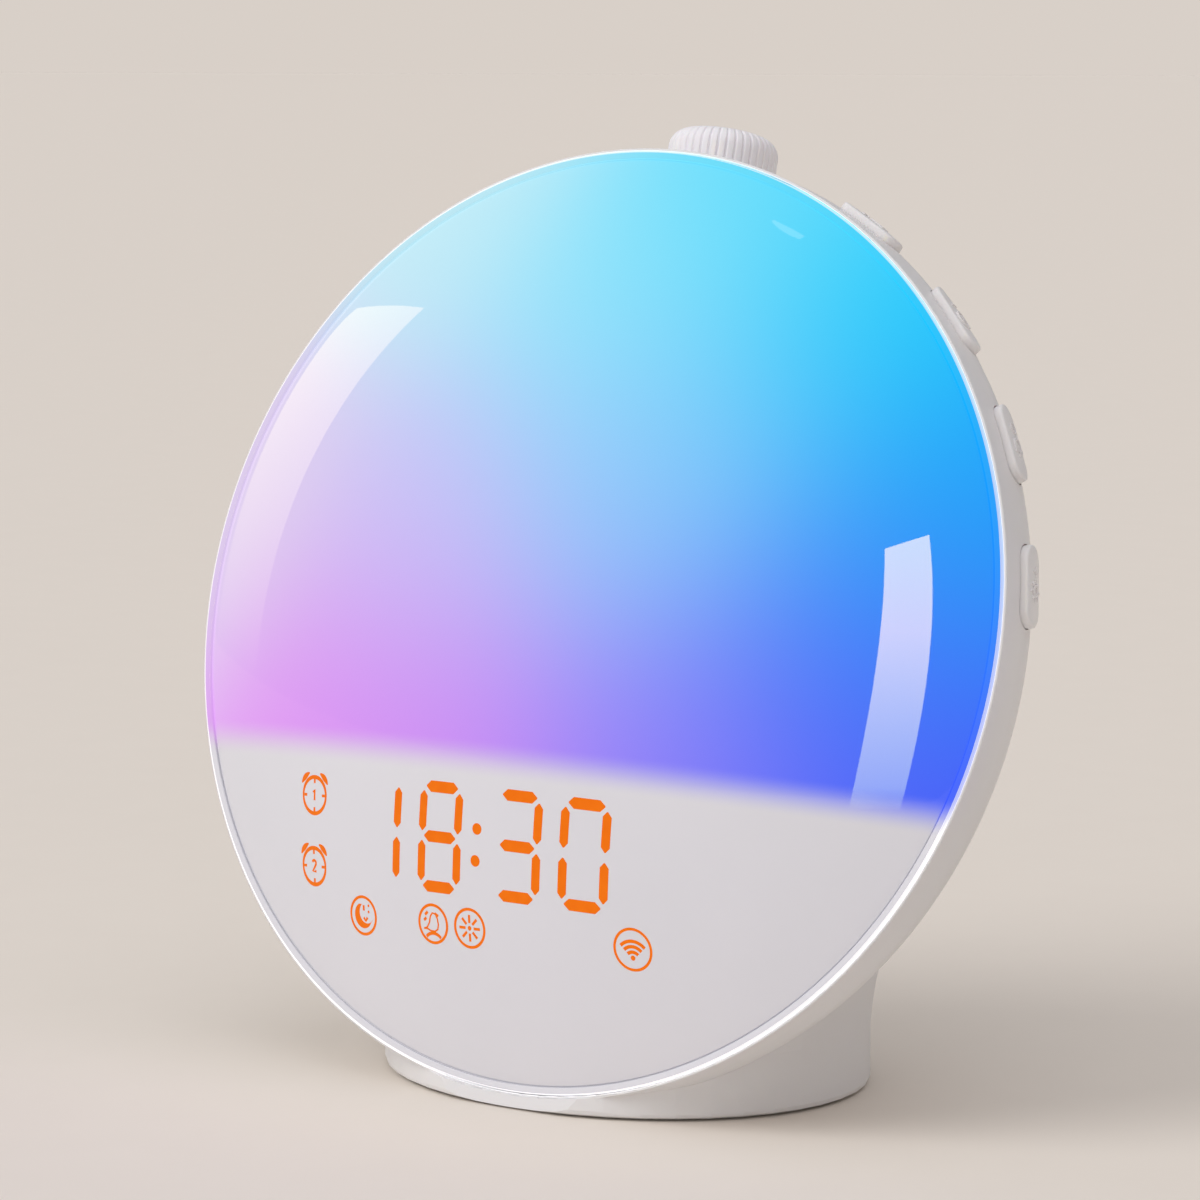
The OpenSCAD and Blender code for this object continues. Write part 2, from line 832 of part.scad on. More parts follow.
// Flange with a basket that carries the magnet, and a lip that the cone's edge rests on
module speaker_frame() {
    basket_s = magnet_s + magnet_t;
    color("dimgray") difference() {
        on_cover() rotate_extrude() polygon([
            [0, -basket_s], [magnet_r - 1, -basket_s], [cone_r + basket_t, -speaker_flange_s],
            [speaker_r, -speaker_flange_s], [speaker_r, -speaker_flange_s - speaker_flange_t],
            [cone_r, -speaker_flange_s - speaker_flange_t], [cone_r, -speaker_flange_s],
            [cone_r - cone_lip, -speaker_flange_s], [magnet_r - 2.6, -basket_s - basket_t],
            [0, -basket_s - basket_t]]);
        speaker_screw_holes();
    }
}

module speaker_cone() {
    edge = cone_r - 0.1;
    cap_s = speaker_flange_s - 4;
    color("black") on_cover() rotate_extrude() polygon([
        [0, -cap_s], [dust_cap_r, -cap_s], [edge - 2, -speaker_flange_s], [edge, -speaker_flange_s],
        [edge, -speaker_flange_s - cone_t], [edge - 2.4, -speaker_flange_s - cone_t],
        [dust_cap_r, -cap_s - cone_t], [0, -cap_s - cone_t]]);
}

module speaker_magnet() {
    color("gray") on_cover() rod(magnet_r, -magnet_s - magnet_t, -magnet_s);
}

module speaker_gasket() {
    color("black") difference() {
        on_cover() rod(speaker_r, -speaker_back, -speaker_flange_s - speaker_flange_t);
        on_cover() rod(cone_r + 1, -far, 0);
        speaker_screw_holes();
    }
}

// ---------------------------------------------------------------- power and fasteners

// Barrel inlet in the back of the foot, with its centre pin
module power_inlet() {
    z = floor_top + jack_h / 2;
    color("black") difference() {
        union() {
            translate([-jack_w / 2, jack_face_y - jack_flange - jack_l, floor_top]) cube([jack_w, jack_l, jack_h]);
            translate([0, jack_face_y, z]) rotate([90, 0, 0]) cylinder(r = jack_nose_r, h = 4);
        }
        translate([0, jack_face_y + 1, z]) rotate([90, 0, 0]) cylinder(r = jack_bore_r, h = jack_bore_l + 1);
    }
    color("silver") translate([0, jack_face_y - 1, z]) rotate([90, 0, 0])
        cylinder(r = jack_pin_r, h = jack_bore_l, $fn = small_fn);
}

module cover_screws() {
    color("silver") at_cover_screws() mirror([0, 0, 1]) screw(2.2, 0.9, cover_screw_l);
}

module base_screws() {
    color("silver") at_base_screws() translate([0, 0, base_head_z]) mirror([0, 0, 1]) screw(2.2, 0.7, 6);
}

module tray_screws() {
    color("silver") round_face(post_angles, post_rho) translate([0, 0, tray_front]) screw(2.4, 1.2, 8);
}

module board_screws() {
    color("silver") at_board_screws() translate([0, 0, board_t]) screw(2.4, 1.4, 8);
}

module speaker_screws() {
    color("silver") at_speaker_screws() translate([0, 0, -speaker_flange_s]) screw(1.9, 1.2, 4.4);
}

// ---------------------------------------------------------------- build

front_lens();
light_tray();
light_board();
light_leds();
display_case();
display_board();
display_leds();
main_housing();
rear_cover();
base_plate();
rubber_foot();
for (i = [1 : button_count]) {
    button(1, i);
    button(-1, i);
    plunger(1, i);
    plunger(-1, i);
}
key_board(1);  // right_key_board
key_board(-1);  // left_key_board
switches(1);  // right_switches
switches(-1);  // left_switches
knob();
encoder_shaft();
encoder_actuator();
encoder_body();
encoder_nut();
encoder_board();
main_board();
board_parts();
wifi_module();
coin_cell_holder();
coin_cell();
speaker_frame();
speaker_cone();
speaker_magnet();
speaker_gasket();
power_inlet();
cover_screws();
base_screws();
tray_screws();
board_screws();
speaker_screws();
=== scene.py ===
# %% [markdown]
# # A sunrise alarm clock
#
# The object is a round white clock that leans back on an oval foot. Its front is a domed lens of milky
# plastic. The upper two thirds glow in sky colours, from lamps behind the lens, and the lower third shows
# the time in orange. A fluted knob stands on top, four keys sit in each side, and a loudspeaker sounds
# through the back.
#
# The solids come from the CAD model, in metres, already in place. What is made here is what a solid model
# leaves out: finishes, soft edges, digits, signs and screws.

# %% Load the solids
import math

import bmesh
import bpy
from mathutils import Matrix, Vector


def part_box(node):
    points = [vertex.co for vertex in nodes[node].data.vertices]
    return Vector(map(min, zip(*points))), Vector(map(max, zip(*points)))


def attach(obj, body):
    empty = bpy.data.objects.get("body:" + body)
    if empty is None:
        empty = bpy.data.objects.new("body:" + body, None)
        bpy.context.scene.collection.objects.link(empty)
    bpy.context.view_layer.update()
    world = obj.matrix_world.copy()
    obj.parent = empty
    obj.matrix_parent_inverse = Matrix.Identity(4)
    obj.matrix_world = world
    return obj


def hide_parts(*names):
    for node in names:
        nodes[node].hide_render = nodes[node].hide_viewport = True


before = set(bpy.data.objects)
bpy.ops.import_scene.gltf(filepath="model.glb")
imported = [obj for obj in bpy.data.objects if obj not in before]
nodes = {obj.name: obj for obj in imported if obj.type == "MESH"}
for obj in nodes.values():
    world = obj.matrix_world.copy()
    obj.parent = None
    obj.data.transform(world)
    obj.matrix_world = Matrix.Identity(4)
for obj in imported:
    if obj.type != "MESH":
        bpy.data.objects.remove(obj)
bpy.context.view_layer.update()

# %% [markdown]
# ## The face's own directions
#
# Nearly everything on this clock is measured from its face, which leans back 15 degrees. So a place is
# written as three lengths in millimetres: across the face, up the face, and out of the face. One function
# turns these into metres in the room. The dome is part of a ball, and a second function gives its height.
# Round shapes are drawn with points on circles, so two more functions give those.

# %% Places on the face
MM = 0.001
LEAN = math.radians(15)
FACE_R, FACE_Y, RIM_LIFT = 90, -14.5, 2.2
FACE_MIDDLE = Vector((0, FACE_Y, RIM_LIFT + FACE_R * math.cos(LEAN))) * MM
ACROSS = Vector((1, 0, 0))
UP = Vector((0, math.sin(LEAN), math.cos(LEAN)))
OUT = Vector((0, -math.cos(LEAN), math.sin(LEAN)))
DOME_R, DOME_EDGE, DOME_TOP = 87.6, 0.6, 23
BALL_R = (DOME_R ** 2 + (DOME_TOP - DOME_EDGE) ** 2) / (2 * (DOME_TOP - DOME_EDGE))


def on_face(u, v, w):
    return FACE_MIDDLE + (ACROSS * u + UP * v + OUT * w) * MM


def dome_height(u, v):
    return DOME_TOP - BALL_R + math.sqrt(BALL_R ** 2 - u * u - v * v)


def around(middle, radius, angle):
    """The point of a circle at an angle in degrees, counted from the first axis."""
    turn = math.radians(angle)
    return middle[0] + radius * math.cos(turn), middle[1] + radius * math.sin(turn)


def curve(middle, radius, start, end, steps):
    """Points along a part of a circle, from one angle to another."""
    return [around(middle, radius, start + (end - start) * k / steps) for k in range(steps + 1)]


print("the dome is part of a ball of radius", round(BALL_R, 1), "mm")

# %% [markdown]
# ## The camera
#
# A long lens from the right and a little above keeps the circle of the face nearly true. Blender's camera
# looks along its own -Z, so it is tipped up from straight down, and then turned about the vertical.

# %% Camera
SENSOR_MM, FOCAL_PIXELS, PICTURE_PIXELS = 36, 4390.8, 1200
CAMERA_PLACE, CAMERA_DROP, CAMERA_TURN = (0.468, -0.6828, 0.1933), 0.1231, 0.6068  # metres and radians
camera_data = bpy.data.cameras.new("camera")
camera_data.sensor_width = SENSOR_MM
camera_data.lens = SENSOR_MM * FOCAL_PIXELS / PICTURE_PIXELS
camera_data.clip_start = 0.01
camera = bpy.data.objects.new("camera", camera_data)
camera.location = CAMERA_PLACE
camera.rotation_euler = (math.pi / 2 - CAMERA_DROP, 0, CAMERA_TURN)
bpy.context.scene.collection.objects.link(camera)
bpy.context.scene.camera = camera
print("focal length", round(camera_data.lens, 1), "mm")

# %% [markdown]
# ## Small helpers for nodes
#
# Materials and Geometry Nodes trees are both graphs of nodes. These helpers add a node, set it up and link
# it in one line, so that a material below reads as a recipe. Sockets are named, or counted where several
# share a name.

# %% Node helpers
def feed(node, values):
    """Fills a node's sockets. A number or colour is set, and another node's output is linked."""
    for socket, value in values.items():
        if isinstance(value, bpy.types.NodeSocket):
            node.id_data.links.new(value, node.inputs[socket])
        else:
            node.inputs[socket].default_value = value
    return node


def add(tree, kind, values=None, **settings):
    """Adds a node with its settings, and fills its sockets."""
    node = tree.nodes.new(kind)
    for name, value in settings.items():
        setattr(node, name, value)
    return feed(node, values or {})


def calc(tree, operation, *values):
    """Works out a number from numbers."""
    return add(tree, "ShaderNodeMath", dict(enumerate(values)), operation=operation).outputs[0]


def vector_calc(tree, operation, *values, output="Vector"):
    """Works out a vector from vectors, or a number if the output is "Value"."""
    return add(tree, "ShaderNodeVectorMath", dict(enumerate(values)), operation=operation).outputs[output]


def scaled(tree, vector, factor):
    values = {"Vector": vector, "Scale": factor}
    return add(tree, "ShaderNodeVectorMath", values, operation="SCALE").outputs[0]


def ramp(tree, value, low, high, start=0, end=1, soft=False):
    """Goes from start to end while the value goes from low to high, evenly or with soft ends."""
    values = {"Value": value, "From Min": low, "From Max": high, "To Min": start, "To Max": end}
    kind = "SMOOTHSTEP" if soft else "LINEAR"
    return add(tree, "ShaderNodeMapRange", values, interpolation_type=kind).outputs[0]


def joined(tree, x=0, y=0, z=0):
    return add(tree, "ShaderNodeCombineXYZ", {"X": x, "Y": y, "Z": z}).outputs[0]


def parted(tree, vector):
    return add(tree, "ShaderNodeSeparateXYZ", {0: vector}).outputs


def new_group(name, kind, inputs, outputs):
    """An empty node group. inputs are (name, type, default), and outputs are (name, type)."""
    tree = bpy.data.node_groups.new(name, kind)
    for label, socket_type, default in inputs:
        socket = tree.interface.new_socket(label, in_out="INPUT", socket_type="NodeSocket" + socket_type)
        if default is not None:
            socket.default_value = default
    for label, socket_type in outputs:
        tree.interface.new_socket(label, in_out="OUTPUT", socket_type="NodeSocket" + socket_type)
    return tree, tree.nodes.new("NodeGroupInput").outputs


# %% [markdown]
# ## Small helpers for materials
#
# Colours are written as on the web, and turned into the linear values that the renderer works with. Every
# pattern is laid out in the piece's own coordinates, so it stays on the piece when that moves.

# %% Material helpers
BLACK, WHITE = (0, 0, 0, 1), (1, 1, 1, 1)


def colour(code):
    parts = [int(code[i:i + 2], 16) / 255 for i in (1, 3, 5)]
    return tuple(c / 12.92 if c < 0.04045 else ((c + 0.055) / 1.055) ** 2.4 for c in parts) + (1,)


def mix(tree, factor, a, b):
    return add(tree, "ShaderNodeMix", {0: factor, 6: a, 7: b}, data_type="RGBA").outputs[2]


def object_point(tree):
    return tree.nodes.new("ShaderNodeTexCoord").outputs["Object"]


def noise(tree, scale, detail):
    values = {"Vector": object_point(tree), "Scale": scale, "Detail": detail}
    return add(tree, "ShaderNodeTexNoise", values).outputs[0]


def use_group(tree, group, values):
    return add(tree, "ShaderNodeGroup", values, node_tree=group).outputs


def new_material(name, values=None):
    """A material with a Principled shader. Gives the material, its tree and the shader."""
    material = bpy.data.materials.new(name)
    material.use_nodes = True
    shader = feed(material.node_tree.nodes["Principled BSDF"], values or {})
    print("material", name)
    return material, material.node_tree, shader


def add_relief(shader, height, strength, depth):
    """Lets a pattern stand out of the surface. depth is in metres."""
    values = {"Height": height, "Strength": strength, "Distance": depth}
    feed(shader, {"Normal": add(shader.id_data, "ShaderNodeBump", values).outputs[0]})


# %% [markdown]
# ## Moulded skin: a finish that many pieces share
#
# Moulded plastic is never quite even. The mould leaves a very fine grain, and the gloss drifts a little
# from place to place. Both are made once, as a node group, and each material sets its own strength. The
# group gives a roughness, a height for a Bump node, and a soft pattern that can shade the colour.

# %% Moulded skin group
CLOUD_SCALE = 38
skin, given = new_group("moulded_skin", "ShaderNodeTree", [
    ("Grain Scale", "Float", 2600), ("Roughness", "Float", 0.4), ("Drift", "Float", 0.06)],
    [("Roughness", "Float"), ("Height", "Float"), ("Shade", "Float")])
grain = noise(skin, given["Grain Scale"], 2)
cloud = noise(skin, CLOUD_SCALE, 3)
drift, fine = [calc(skin, "MULTIPLY", calc(skin, "SUBTRACT", pattern, 0.5), given["Drift"])
               for pattern in (cloud, grain)]
rough = calc(skin, "ADD", given["Roughness"], calc(skin, "ADD", drift, fine))
add(skin, "NodeGroupOutput", {"Roughness": rough, "Height": grain, "Shade": cloud})
print("moulded_skin has", len(skin.nodes), "nodes")


# %% Plastics made with it
def plastic(name, light, dark, roughness, grain_scale=2600, drift=0.06, bump=0.1, subsurface=0, metallic=0):
    """Moulded plastic whose colour drifts between two close shades."""
    material, tree, shader = new_material(name, {"Subsurface Weight": subsurface, "Metallic": metallic})
    made = use_group(tree, skin, {"Grain Scale": grain_scale, "Roughness": roughness, "Drift": drift})
    base = mix(tree, made["Shade"], colour(dark), colour(light))
    feed(shader, {"Base Color": base, "Roughness": made["Roughness"]})
    add_relief(shader, made["Height"], bump, 0.00005)
    return material


white_shell = plastic("white_shell", "#f1eff0", "#ebe9ea", 0.36, subsurface=0.04)
key_white = plastic("key_white", "#f3f1f2", "#eceaeb", 0.33, subsurface=0.04)
# Painted light: the knob's white is a little lighter and more lilac than the shell's, for the light that
# falls on it
knob_white = plastic("knob_white", "#faf8fc", "#f3f1f6", 0.34, subsurface=0.04)
inner_white = plastic("inner_white", "#e9e8e4", "#dddcd7", 0.5, drift=0.12)
black_plastic = plastic("black_plastic", "#1b1b1d", "#121214", 0.38, drift=0.1)
grey_plastic = plastic("grey_plastic", "#8b8c8e", "#7b7c7f", 0.45, drift=0.1)
rubber_grey = plastic("rubber_grey", "#3c3c3e", "#2f2f31", 0.78, grain_scale=900, drift=0.1, bump=0.5)
cone_black = plastic("cone_black", "#27262a", "#18181a", 0.85, grain_scale=700, drift=0.2, bump=0.8)


# %% Metals made with it
def metal(name, light, dark, roughness, drift):
    """Metal with faint stains: the same skin, with a shader that reflects in its own colour."""
    return plastic(name, light, dark, roughness, grain_scale=1500, drift=drift, bump=0.15, metallic=1)


steel = metal("steel", "#d4d4d6", "#b9babd", 0.3, 0.15)
cell_steel = metal("cell_steel", "#dcdcdc", "#c4c5c8", 0.22, 0.12)
encoder_metal = metal("encoder_metal", "#a9aaad", "#8f9094", 0.4, 0.2)
magnet_metal = metal("magnet_metal", "#b8bcc6", "#9aa0b0", 0.35, 0.2)

# %% [markdown]
# ## Circuit boards and lamps
#
# A circuit board is glass fibre under green varnish, with copper tracks that show as lighter lines. A
# brick pattern with long thin bricks gives tracks that run and stop. The small lamps inside are cream or
# orange blocks, and they are seen so seldom that the moulded skin is enough for them.


# %% Board and lamp materials
def board_material(name, varnish, track):
    material, tree, shader = new_material(name, {"Roughness": 0.32})
    lines = add(tree, "ShaderNodeTexBrick", {
        "Vector": object_point(tree), "Scale": 130, "Mortar Size": 0.06, "Mortar Smooth": 0.2,
        "Brick Width": 1.4, "Row Height": 0.25, "Color1": colour(varnish), "Color2": colour(varnish),
        "Mortar": colour(track)}).outputs
    feed(shader, {"Base Color": lines["Color"]})
    add_relief(shader, lines["Fac"], 0.3, 0.00004)
    return material


board_green = board_material("board_green", "#1c5a33", "#2f7d48")
board_white = board_material("board_white", "#eceae2", "#dcd8c8")
led_white = plastic("led_white", "#f4efd8", "#e9dfae", 0.3, drift=0.1)
led_orange = plastic("led_orange", "#f2c49a", "#e39a52", 0.3, drift=0.1)

# %% [markdown]
# ## Light through a milky lens
#
# Behind the lens sit rings of small lamps in several colours. The milky plastic spreads them, so that each
# colour fades softly into the next. This is made the same way: a handful of colour zones, each with a
# place on the face, are blended by their distance. A wall inside the clock keeps the light out of the
# lower third, so the glow ends there within a few millimetres.
#
# The shader gets the glow twice. Most is emitted, as the lamps do. A part is painted into the plastic's
# colour, so that the studio's light still models the dome. A thin bright line round the face is a painted
# highlight: the lens emits white at its rounded outer edge, and so does the bead of the housing beside it,
# half on the lens and half on the bead.

# %% Glow zones
GLOW_ZONES = {  # name: (across, up) in mm, colour
    "ice": ((-38, 76), "#bde7f2"),
    "aqua": ((4, 60), "#8fe2f8"),
    "cyan": ((20, 88), "#52daf9"),
    "sky": ((54, 58), "#00cdfa"),
    "azure": ((80, 26), "#009efa"),
    "blue": ((72, -8), "#327bfa"),
    "deep_blue": ((82, -32), "#4646fc"),
    "violet": ((34, -28), "#8d7cf9"),
    "orchid": ((-14, -28), "#cb86f3"),
    "pink": ((-52, -28), "#dc8ef0"),
    "pearl": ((-78, 16), "#dacbea"),
    "lavender": ((-24, 14), "#c6bff3"),
    "soft_blue": ((22, 22), "#88c4f9"),
}
ZONE_SPREAD = 22
GLOW_EDGE, GLOW_BLUR = -29.8, 3.6
# The narrow band round the rim where the painted highlight is emitted
RIM_HIGHLIGHT_R, RIM_HIGHLIGHT_HALF = 89.33, 0.27
RIM_HIGHLIGHT_OUT, RIM_HIGHLIGHT_REACH = 0.5, 0.7
print(len(GLOW_ZONES), "zones of glow")

# %% Glow group
glow, given = new_group("sunrise_glow", "ShaderNodeTree", [("Spread", "Float", ZONE_SPREAD)],
                        [("Color", "Color"), ("Mask", "Float"), ("Rim", "Float")])
# The Mapping node turns room coordinates in metres into face coordinates in millimetres
face_place = add(glow, "ShaderNodeMapping", {
    "Vector": object_point(glow), "Location": FACE_MIDDLE, "Rotation": (math.pi / 2 - LEAN, 0, 0),
    "Scale": (MM, MM, MM)}, vector_type="TEXTURE").outputs[0]
across, up, out = parted(glow, face_place)
flat_place = joined(glow, across, up)
blend_sum, weight_sum = (0, 0, 0), 0
for zone, code in GLOW_ZONES.values():
    away = vector_calc(glow, "DISTANCE", flat_place, (*zone, 0), output="Value")
    near = calc(glow, "DIVIDE", away, given["Spread"])
    weight = calc(glow, "EXPONENT", calc(glow, "MULTIPLY", calc(glow, "MULTIPLY", near, near), -0.5))
    blend_sum = vector_calc(glow, "ADD", blend_sum, scaled(glow, colour(code)[:3], weight))
    weight_sum = calc(glow, "ADD", weight_sum, weight)
blended = scaled(glow, blend_sum, calc(glow, "DIVIDE", 1, weight_sum))
mask = ramp(glow, up, GLOW_EDGE - GLOW_BLUR, GLOW_EDGE + GLOW_BLUR, soft=True)
from_middle = vector_calc(glow, "LENGTH", flat_place, output="Value")
# This band carries the painted highlight round the rim, near the rim and at the front
near_rim = calc(glow, "COMPARE", from_middle, RIM_HIGHLIGHT_R, RIM_HIGHLIGHT_HALF)
near_front = calc(glow, "COMPARE", out, RIM_HIGHLIGHT_OUT, RIM_HIGHLIGHT_REACH)
rim = calc(glow, "MULTIPLY", near_rim, near_front)
add(glow, "NodeGroupOutput", {"Color": blended, "Mask": mask, "Rim": rim})
print("sunrise_glow has", len(glow.nodes), "nodes")

# %% Lens material
EMITTED, SHADED_AWAY = 0.76, 0.72
LENS_RIM_HIGHLIGHT, BEAD_RIM_HIGHLIGHT = 0.6, 0.35
opal_lens, tree, shader = new_material("opal_lens", {"Emission Strength": EMITTED, "IOR": 1.49})
light = use_group(tree, glow, {"Spread": ZONE_SPREAD})
made = use_group(tree, skin, {"Grain Scale": 500, "Roughness": 0.015, "Drift": 0.01})
# Painted glow: part of the lamps' light is put into the plastic's base colour
tinted = mix(tree, SHADED_AWAY, light["Color"], BLACK)
opal = mix(tree, made["Shade"], colour("#e5e6ed"), colour("#eaeaf1"))
lit = mix(tree, light["Mask"], BLACK, light["Color"])
# Painted highlight: in the rim band the lens emits white
painted_rim_highlight = calc(tree, "MULTIPLY", light["Rim"], LENS_RIM_HIGHLIGHT)
feed(shader, {"Base Color": mix(tree, light["Mask"], opal, tinted), "Roughness": made["Roughness"],
              "Emission Color": mix(tree, painted_rim_highlight, lit, WHITE)})

# %% The same painted highlight on the housing's bead
tree = white_shell.node_tree
light = use_group(tree, glow, {"Spread": ZONE_SPREAD})
# Painted highlight: in the same rim band the housing's bead emits white
feed(tree.nodes["Principled BSDF"], {"Emission Color": mix(tree, light["Rim"], BLACK, WHITE),
                                     "Emission Strength": BEAD_RIM_HIGHLIGHT})

# %% [markdown]
# ## Building meshes
#
# Two makers cover most pieces. The first turns a list of points and faces into an object. The second spins
# a profile round an axis, like a lathe, and closes it at the axis. Spinning can turn a shape inside out,
# so the normals are worked out again at the end. Every piece stays at the origin, with its place in its
# points, as the CAD pieces do. A modifier's result is always made into a plain mesh.


# %% Mesh makers
def finish_piece(name, mesh, material, smooth_angle):
    """Wraps a mesh in an object, gives it its material and shades it smooth up to an angle."""
    mesh.name = name
    mesh.materials.clear()
    mesh.materials.append(material)
    piece = bpy.data.objects.new(name, mesh)
    bpy.context.scene.collection.objects.link(piece)
    mesh.shade_smooth()
    mesh.set_sharp_from_angle(angle=math.radians(smooth_angle))
    return piece


def make_piece(name, points, faces, material, smooth_angle=35):
    mesh = bpy.data.meshes.new(name)
    mesh.from_pydata([tuple(p) for p in points], [], faces)
    draft = bmesh.new()
    draft.from_mesh(mesh)
    bmesh.ops.remove_doubles(draft, verts=draft.verts, dist=1e-7)
    bmesh.ops.recalc_face_normals(draft, faces=draft.faces)
    draft.to_mesh(mesh)
    draft.free()
    return finish_piece(name, mesh, material, smooth_angle)


def lathe(name, profile, place, sides, material, smooth_angle=35):
    """Spins (radius, height) points round an axis. place(x, y, height) gives the point in the room."""
    points, faces, rows = [], [], []
    for r, h in profile:
        if r < 1e-6:  # on the axis, one point stands for the whole ring
            rows.append([len(points)] * sides)
            points.append(place(0, 0, h))
        else:
            rows.append(range(len(points), len(points) + sides))
            points += [place(*around((0, 0), r, 360 * k / sides), h) for k in range(sides)]
    for low, high in zip(rows, rows[1:]):
        for k in range(sides):
            after = (k + 1) % sides
            corners = [low[k], low[after], high[after], high[k]]
            faces.append(list(dict.fromkeys(corners)))
    return make_piece(name, points, faces, material, smooth_angle)


def keep_result(piece, modifier):
    """Makes a modifier's result into the piece's plain mesh."""
    seen = piece.evaluated_get(bpy.context.evaluated_depsgraph_get())
    mesh = bpy.data.meshes.new_from_object(seen)
    piece.modifiers.remove(modifier)
    piece.data = mesh


# %% [markdown]
# ## The lens
#
# On the real clock the lens is one moulding: a shallow dome, a fine groove round it, and a narrow lip that
# snaps into the housing. The groove and lip catch the light as two thin lines, which is how one sees that
# the lens is a piece of its own. It is spun from one profile with small rounded corners, because sharp
# corners would show no such lines.

# %% Spin the lens
LENS_WALL, SKIRT_IN, SKIRT_LOW = 2.2, 86.6, -3
LIP_IN, LIP_R, LIP_H = 87.9, 89.3, 0.8
EDGE_ROUND, LIP_IN_ROUND, LIP_OUT_ROUND, GROOVE_FLOOR = 0.2, 0.15, 0.35, 0.2
DOME_STEPS, INNER_STEPS, LENS_SIDES = 72, 24, 288
ball_middle, inner_r = (0, DOME_TOP - BALL_R), BALL_R - LENS_WALL
outer_end = 90 - math.degrees(math.asin(DOME_R / BALL_R))
inner_start = 90 - math.degrees(math.asin(SKIRT_IN / inner_r))
lens_profile = curve(ball_middle, BALL_R, 90, outer_end, DOME_STEPS)[:-1] \
    + curve((DOME_R - EDGE_ROUND, DOME_EDGE - 0.15), EDGE_ROUND, 65, 0, 4) \
    + [(DOME_R, GROOVE_FLOOR), (LIP_IN, GROOVE_FLOOR)] \
    + curve((LIP_IN + LIP_IN_ROUND, LIP_H - LIP_IN_ROUND), LIP_IN_ROUND, 180, 90, 4) \
    + curve((LIP_R - LIP_OUT_ROUND, LIP_H - LIP_OUT_ROUND), LIP_OUT_ROUND, 90, 0, 6) \
    + [(LIP_R, SKIRT_LOW), (SKIRT_IN, SKIRT_LOW)] + curve(ball_middle, inner_r, inner_start, 90, INNER_STEPS)
lens = lathe("front_lens_dome", lens_profile, on_face, LENS_SIDES, opal_lens)
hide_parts("front_lens")
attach(lens, "clock")
print("lens:", len(lens.data.polygons), "faces")

# %% [markdown]
# ## Digits and signs of light
#
# The time is not printed: lamps shine through shaped holes behind the lens, so the bars look as if they lie
# in its surface. Each bar, ring or ray is a strip with a middle line and a width that may change, such as
# the pointed ends of a bar. The strip is laid on the dome with a very small thickness. This keeps all the
# drawing flat and simple, and the dome's own height bends it.

# %% Strips
BAR_TIP = 0.12


def strip(line, half, closed=False):
    """Left and right edge of a flat strip. half is its half width: one number, or one for each point."""
    count = len(line)
    half = half if isinstance(half, (list, tuple)) else [half] * count
    pairs = []
    for k, (x, y) in enumerate(line):
        before = line[k - 1] if k or closed else line[k]
        after = line[(k + 1) % count] if k < count - 1 or closed else line[k]
        dx, dy = after[0] - before[0], after[1] - before[1]
        reach = half[k] / math.hypot(dx, dy)
        pairs.append(((x - dy * reach, y + dx * reach), (x + dy * reach, y - dx * reach)))
    return pairs, closed


def filled(one_edge, other_edge):
    """A strip that fills the space between two curves."""
    return list(zip(one_edge, other_edge)), False


def ring(middle, radius, half, steps=48):
    return strip(curve(middle, radius, 0, 360, steps)[:-1], half, closed=True)


def dot(middle, radius, steps=12):
    turns = [math.pi * k / steps for k in range(steps + 1)]
    line = [(middle[0] - radius * math.cos(t), middle[1]) for t in turns]
    return strip(line, [max(radius * math.sin(t), 0.002) for t in turns])


def rays(inner, outer, count, half):
    return [strip([around((0, 0), r, 360 * k / count) for r in (inner, outer)], half) for k in range(count)]


def pointed_bar(middle, length, width, along):
    """A bar with pointed ends. along is its direction, a unit vector."""
    shoulder = 0.5 - width / 2 / length
    line = [(middle[0] + along[0] * length * t, middle[1] + along[1] * length * t)
            for t in (-0.5, -shoulder, -0.25, 0, 0.25, shoulder, 0.5)]
    return strip(line, [BAR_TIP] + [width / 2] * 5 + [BAR_TIP])


def placed(strips, u, v, factor=1):
    """Strips drawn round the origin, made larger or smaller and moved to (u, v)."""
    return [([tuple((u + x * factor, v + y * factor) for x, y in pair) for pair in pairs], closed)
            for pairs, closed in strips]


# %% Strips laid on a surface
def film(name, strips, surface, thickness, material, sink=0.05):
    """Lays strips on a surface(x, y, lift) as a thin closed layer, in millimetres."""
    points, faces = [], []
    for pairs, closed in strips:
        first, count = len(points), len(pairs)
        for left, right in pairs:
            points += [surface(*left, thickness), surface(*right, thickness),
                       surface(*left, -sink), surface(*right, -sink)]
        for k in range(count if closed else count - 1):
            a, b = first + 4 * k, first + 4 * ((k + 1) % count)
            faces += [(a, a + 1, b + 1, b), (a + 3, a + 2, b + 2, b + 3),
                      (a + 2, a, b, b + 2), (a + 1, a + 3, b + 3, b + 1)]
        if not closed:
            last = first + 4 * (count - 1)
            faces += [(first, first + 2, first + 3, first + 1), (last, last + 1, last + 3, last + 2)]
    return make_piece(name, points, faces, material, smooth_angle=30)


def on_dome(u, v, lift):
    return on_face(u, v, dome_height(u, v) + lift)


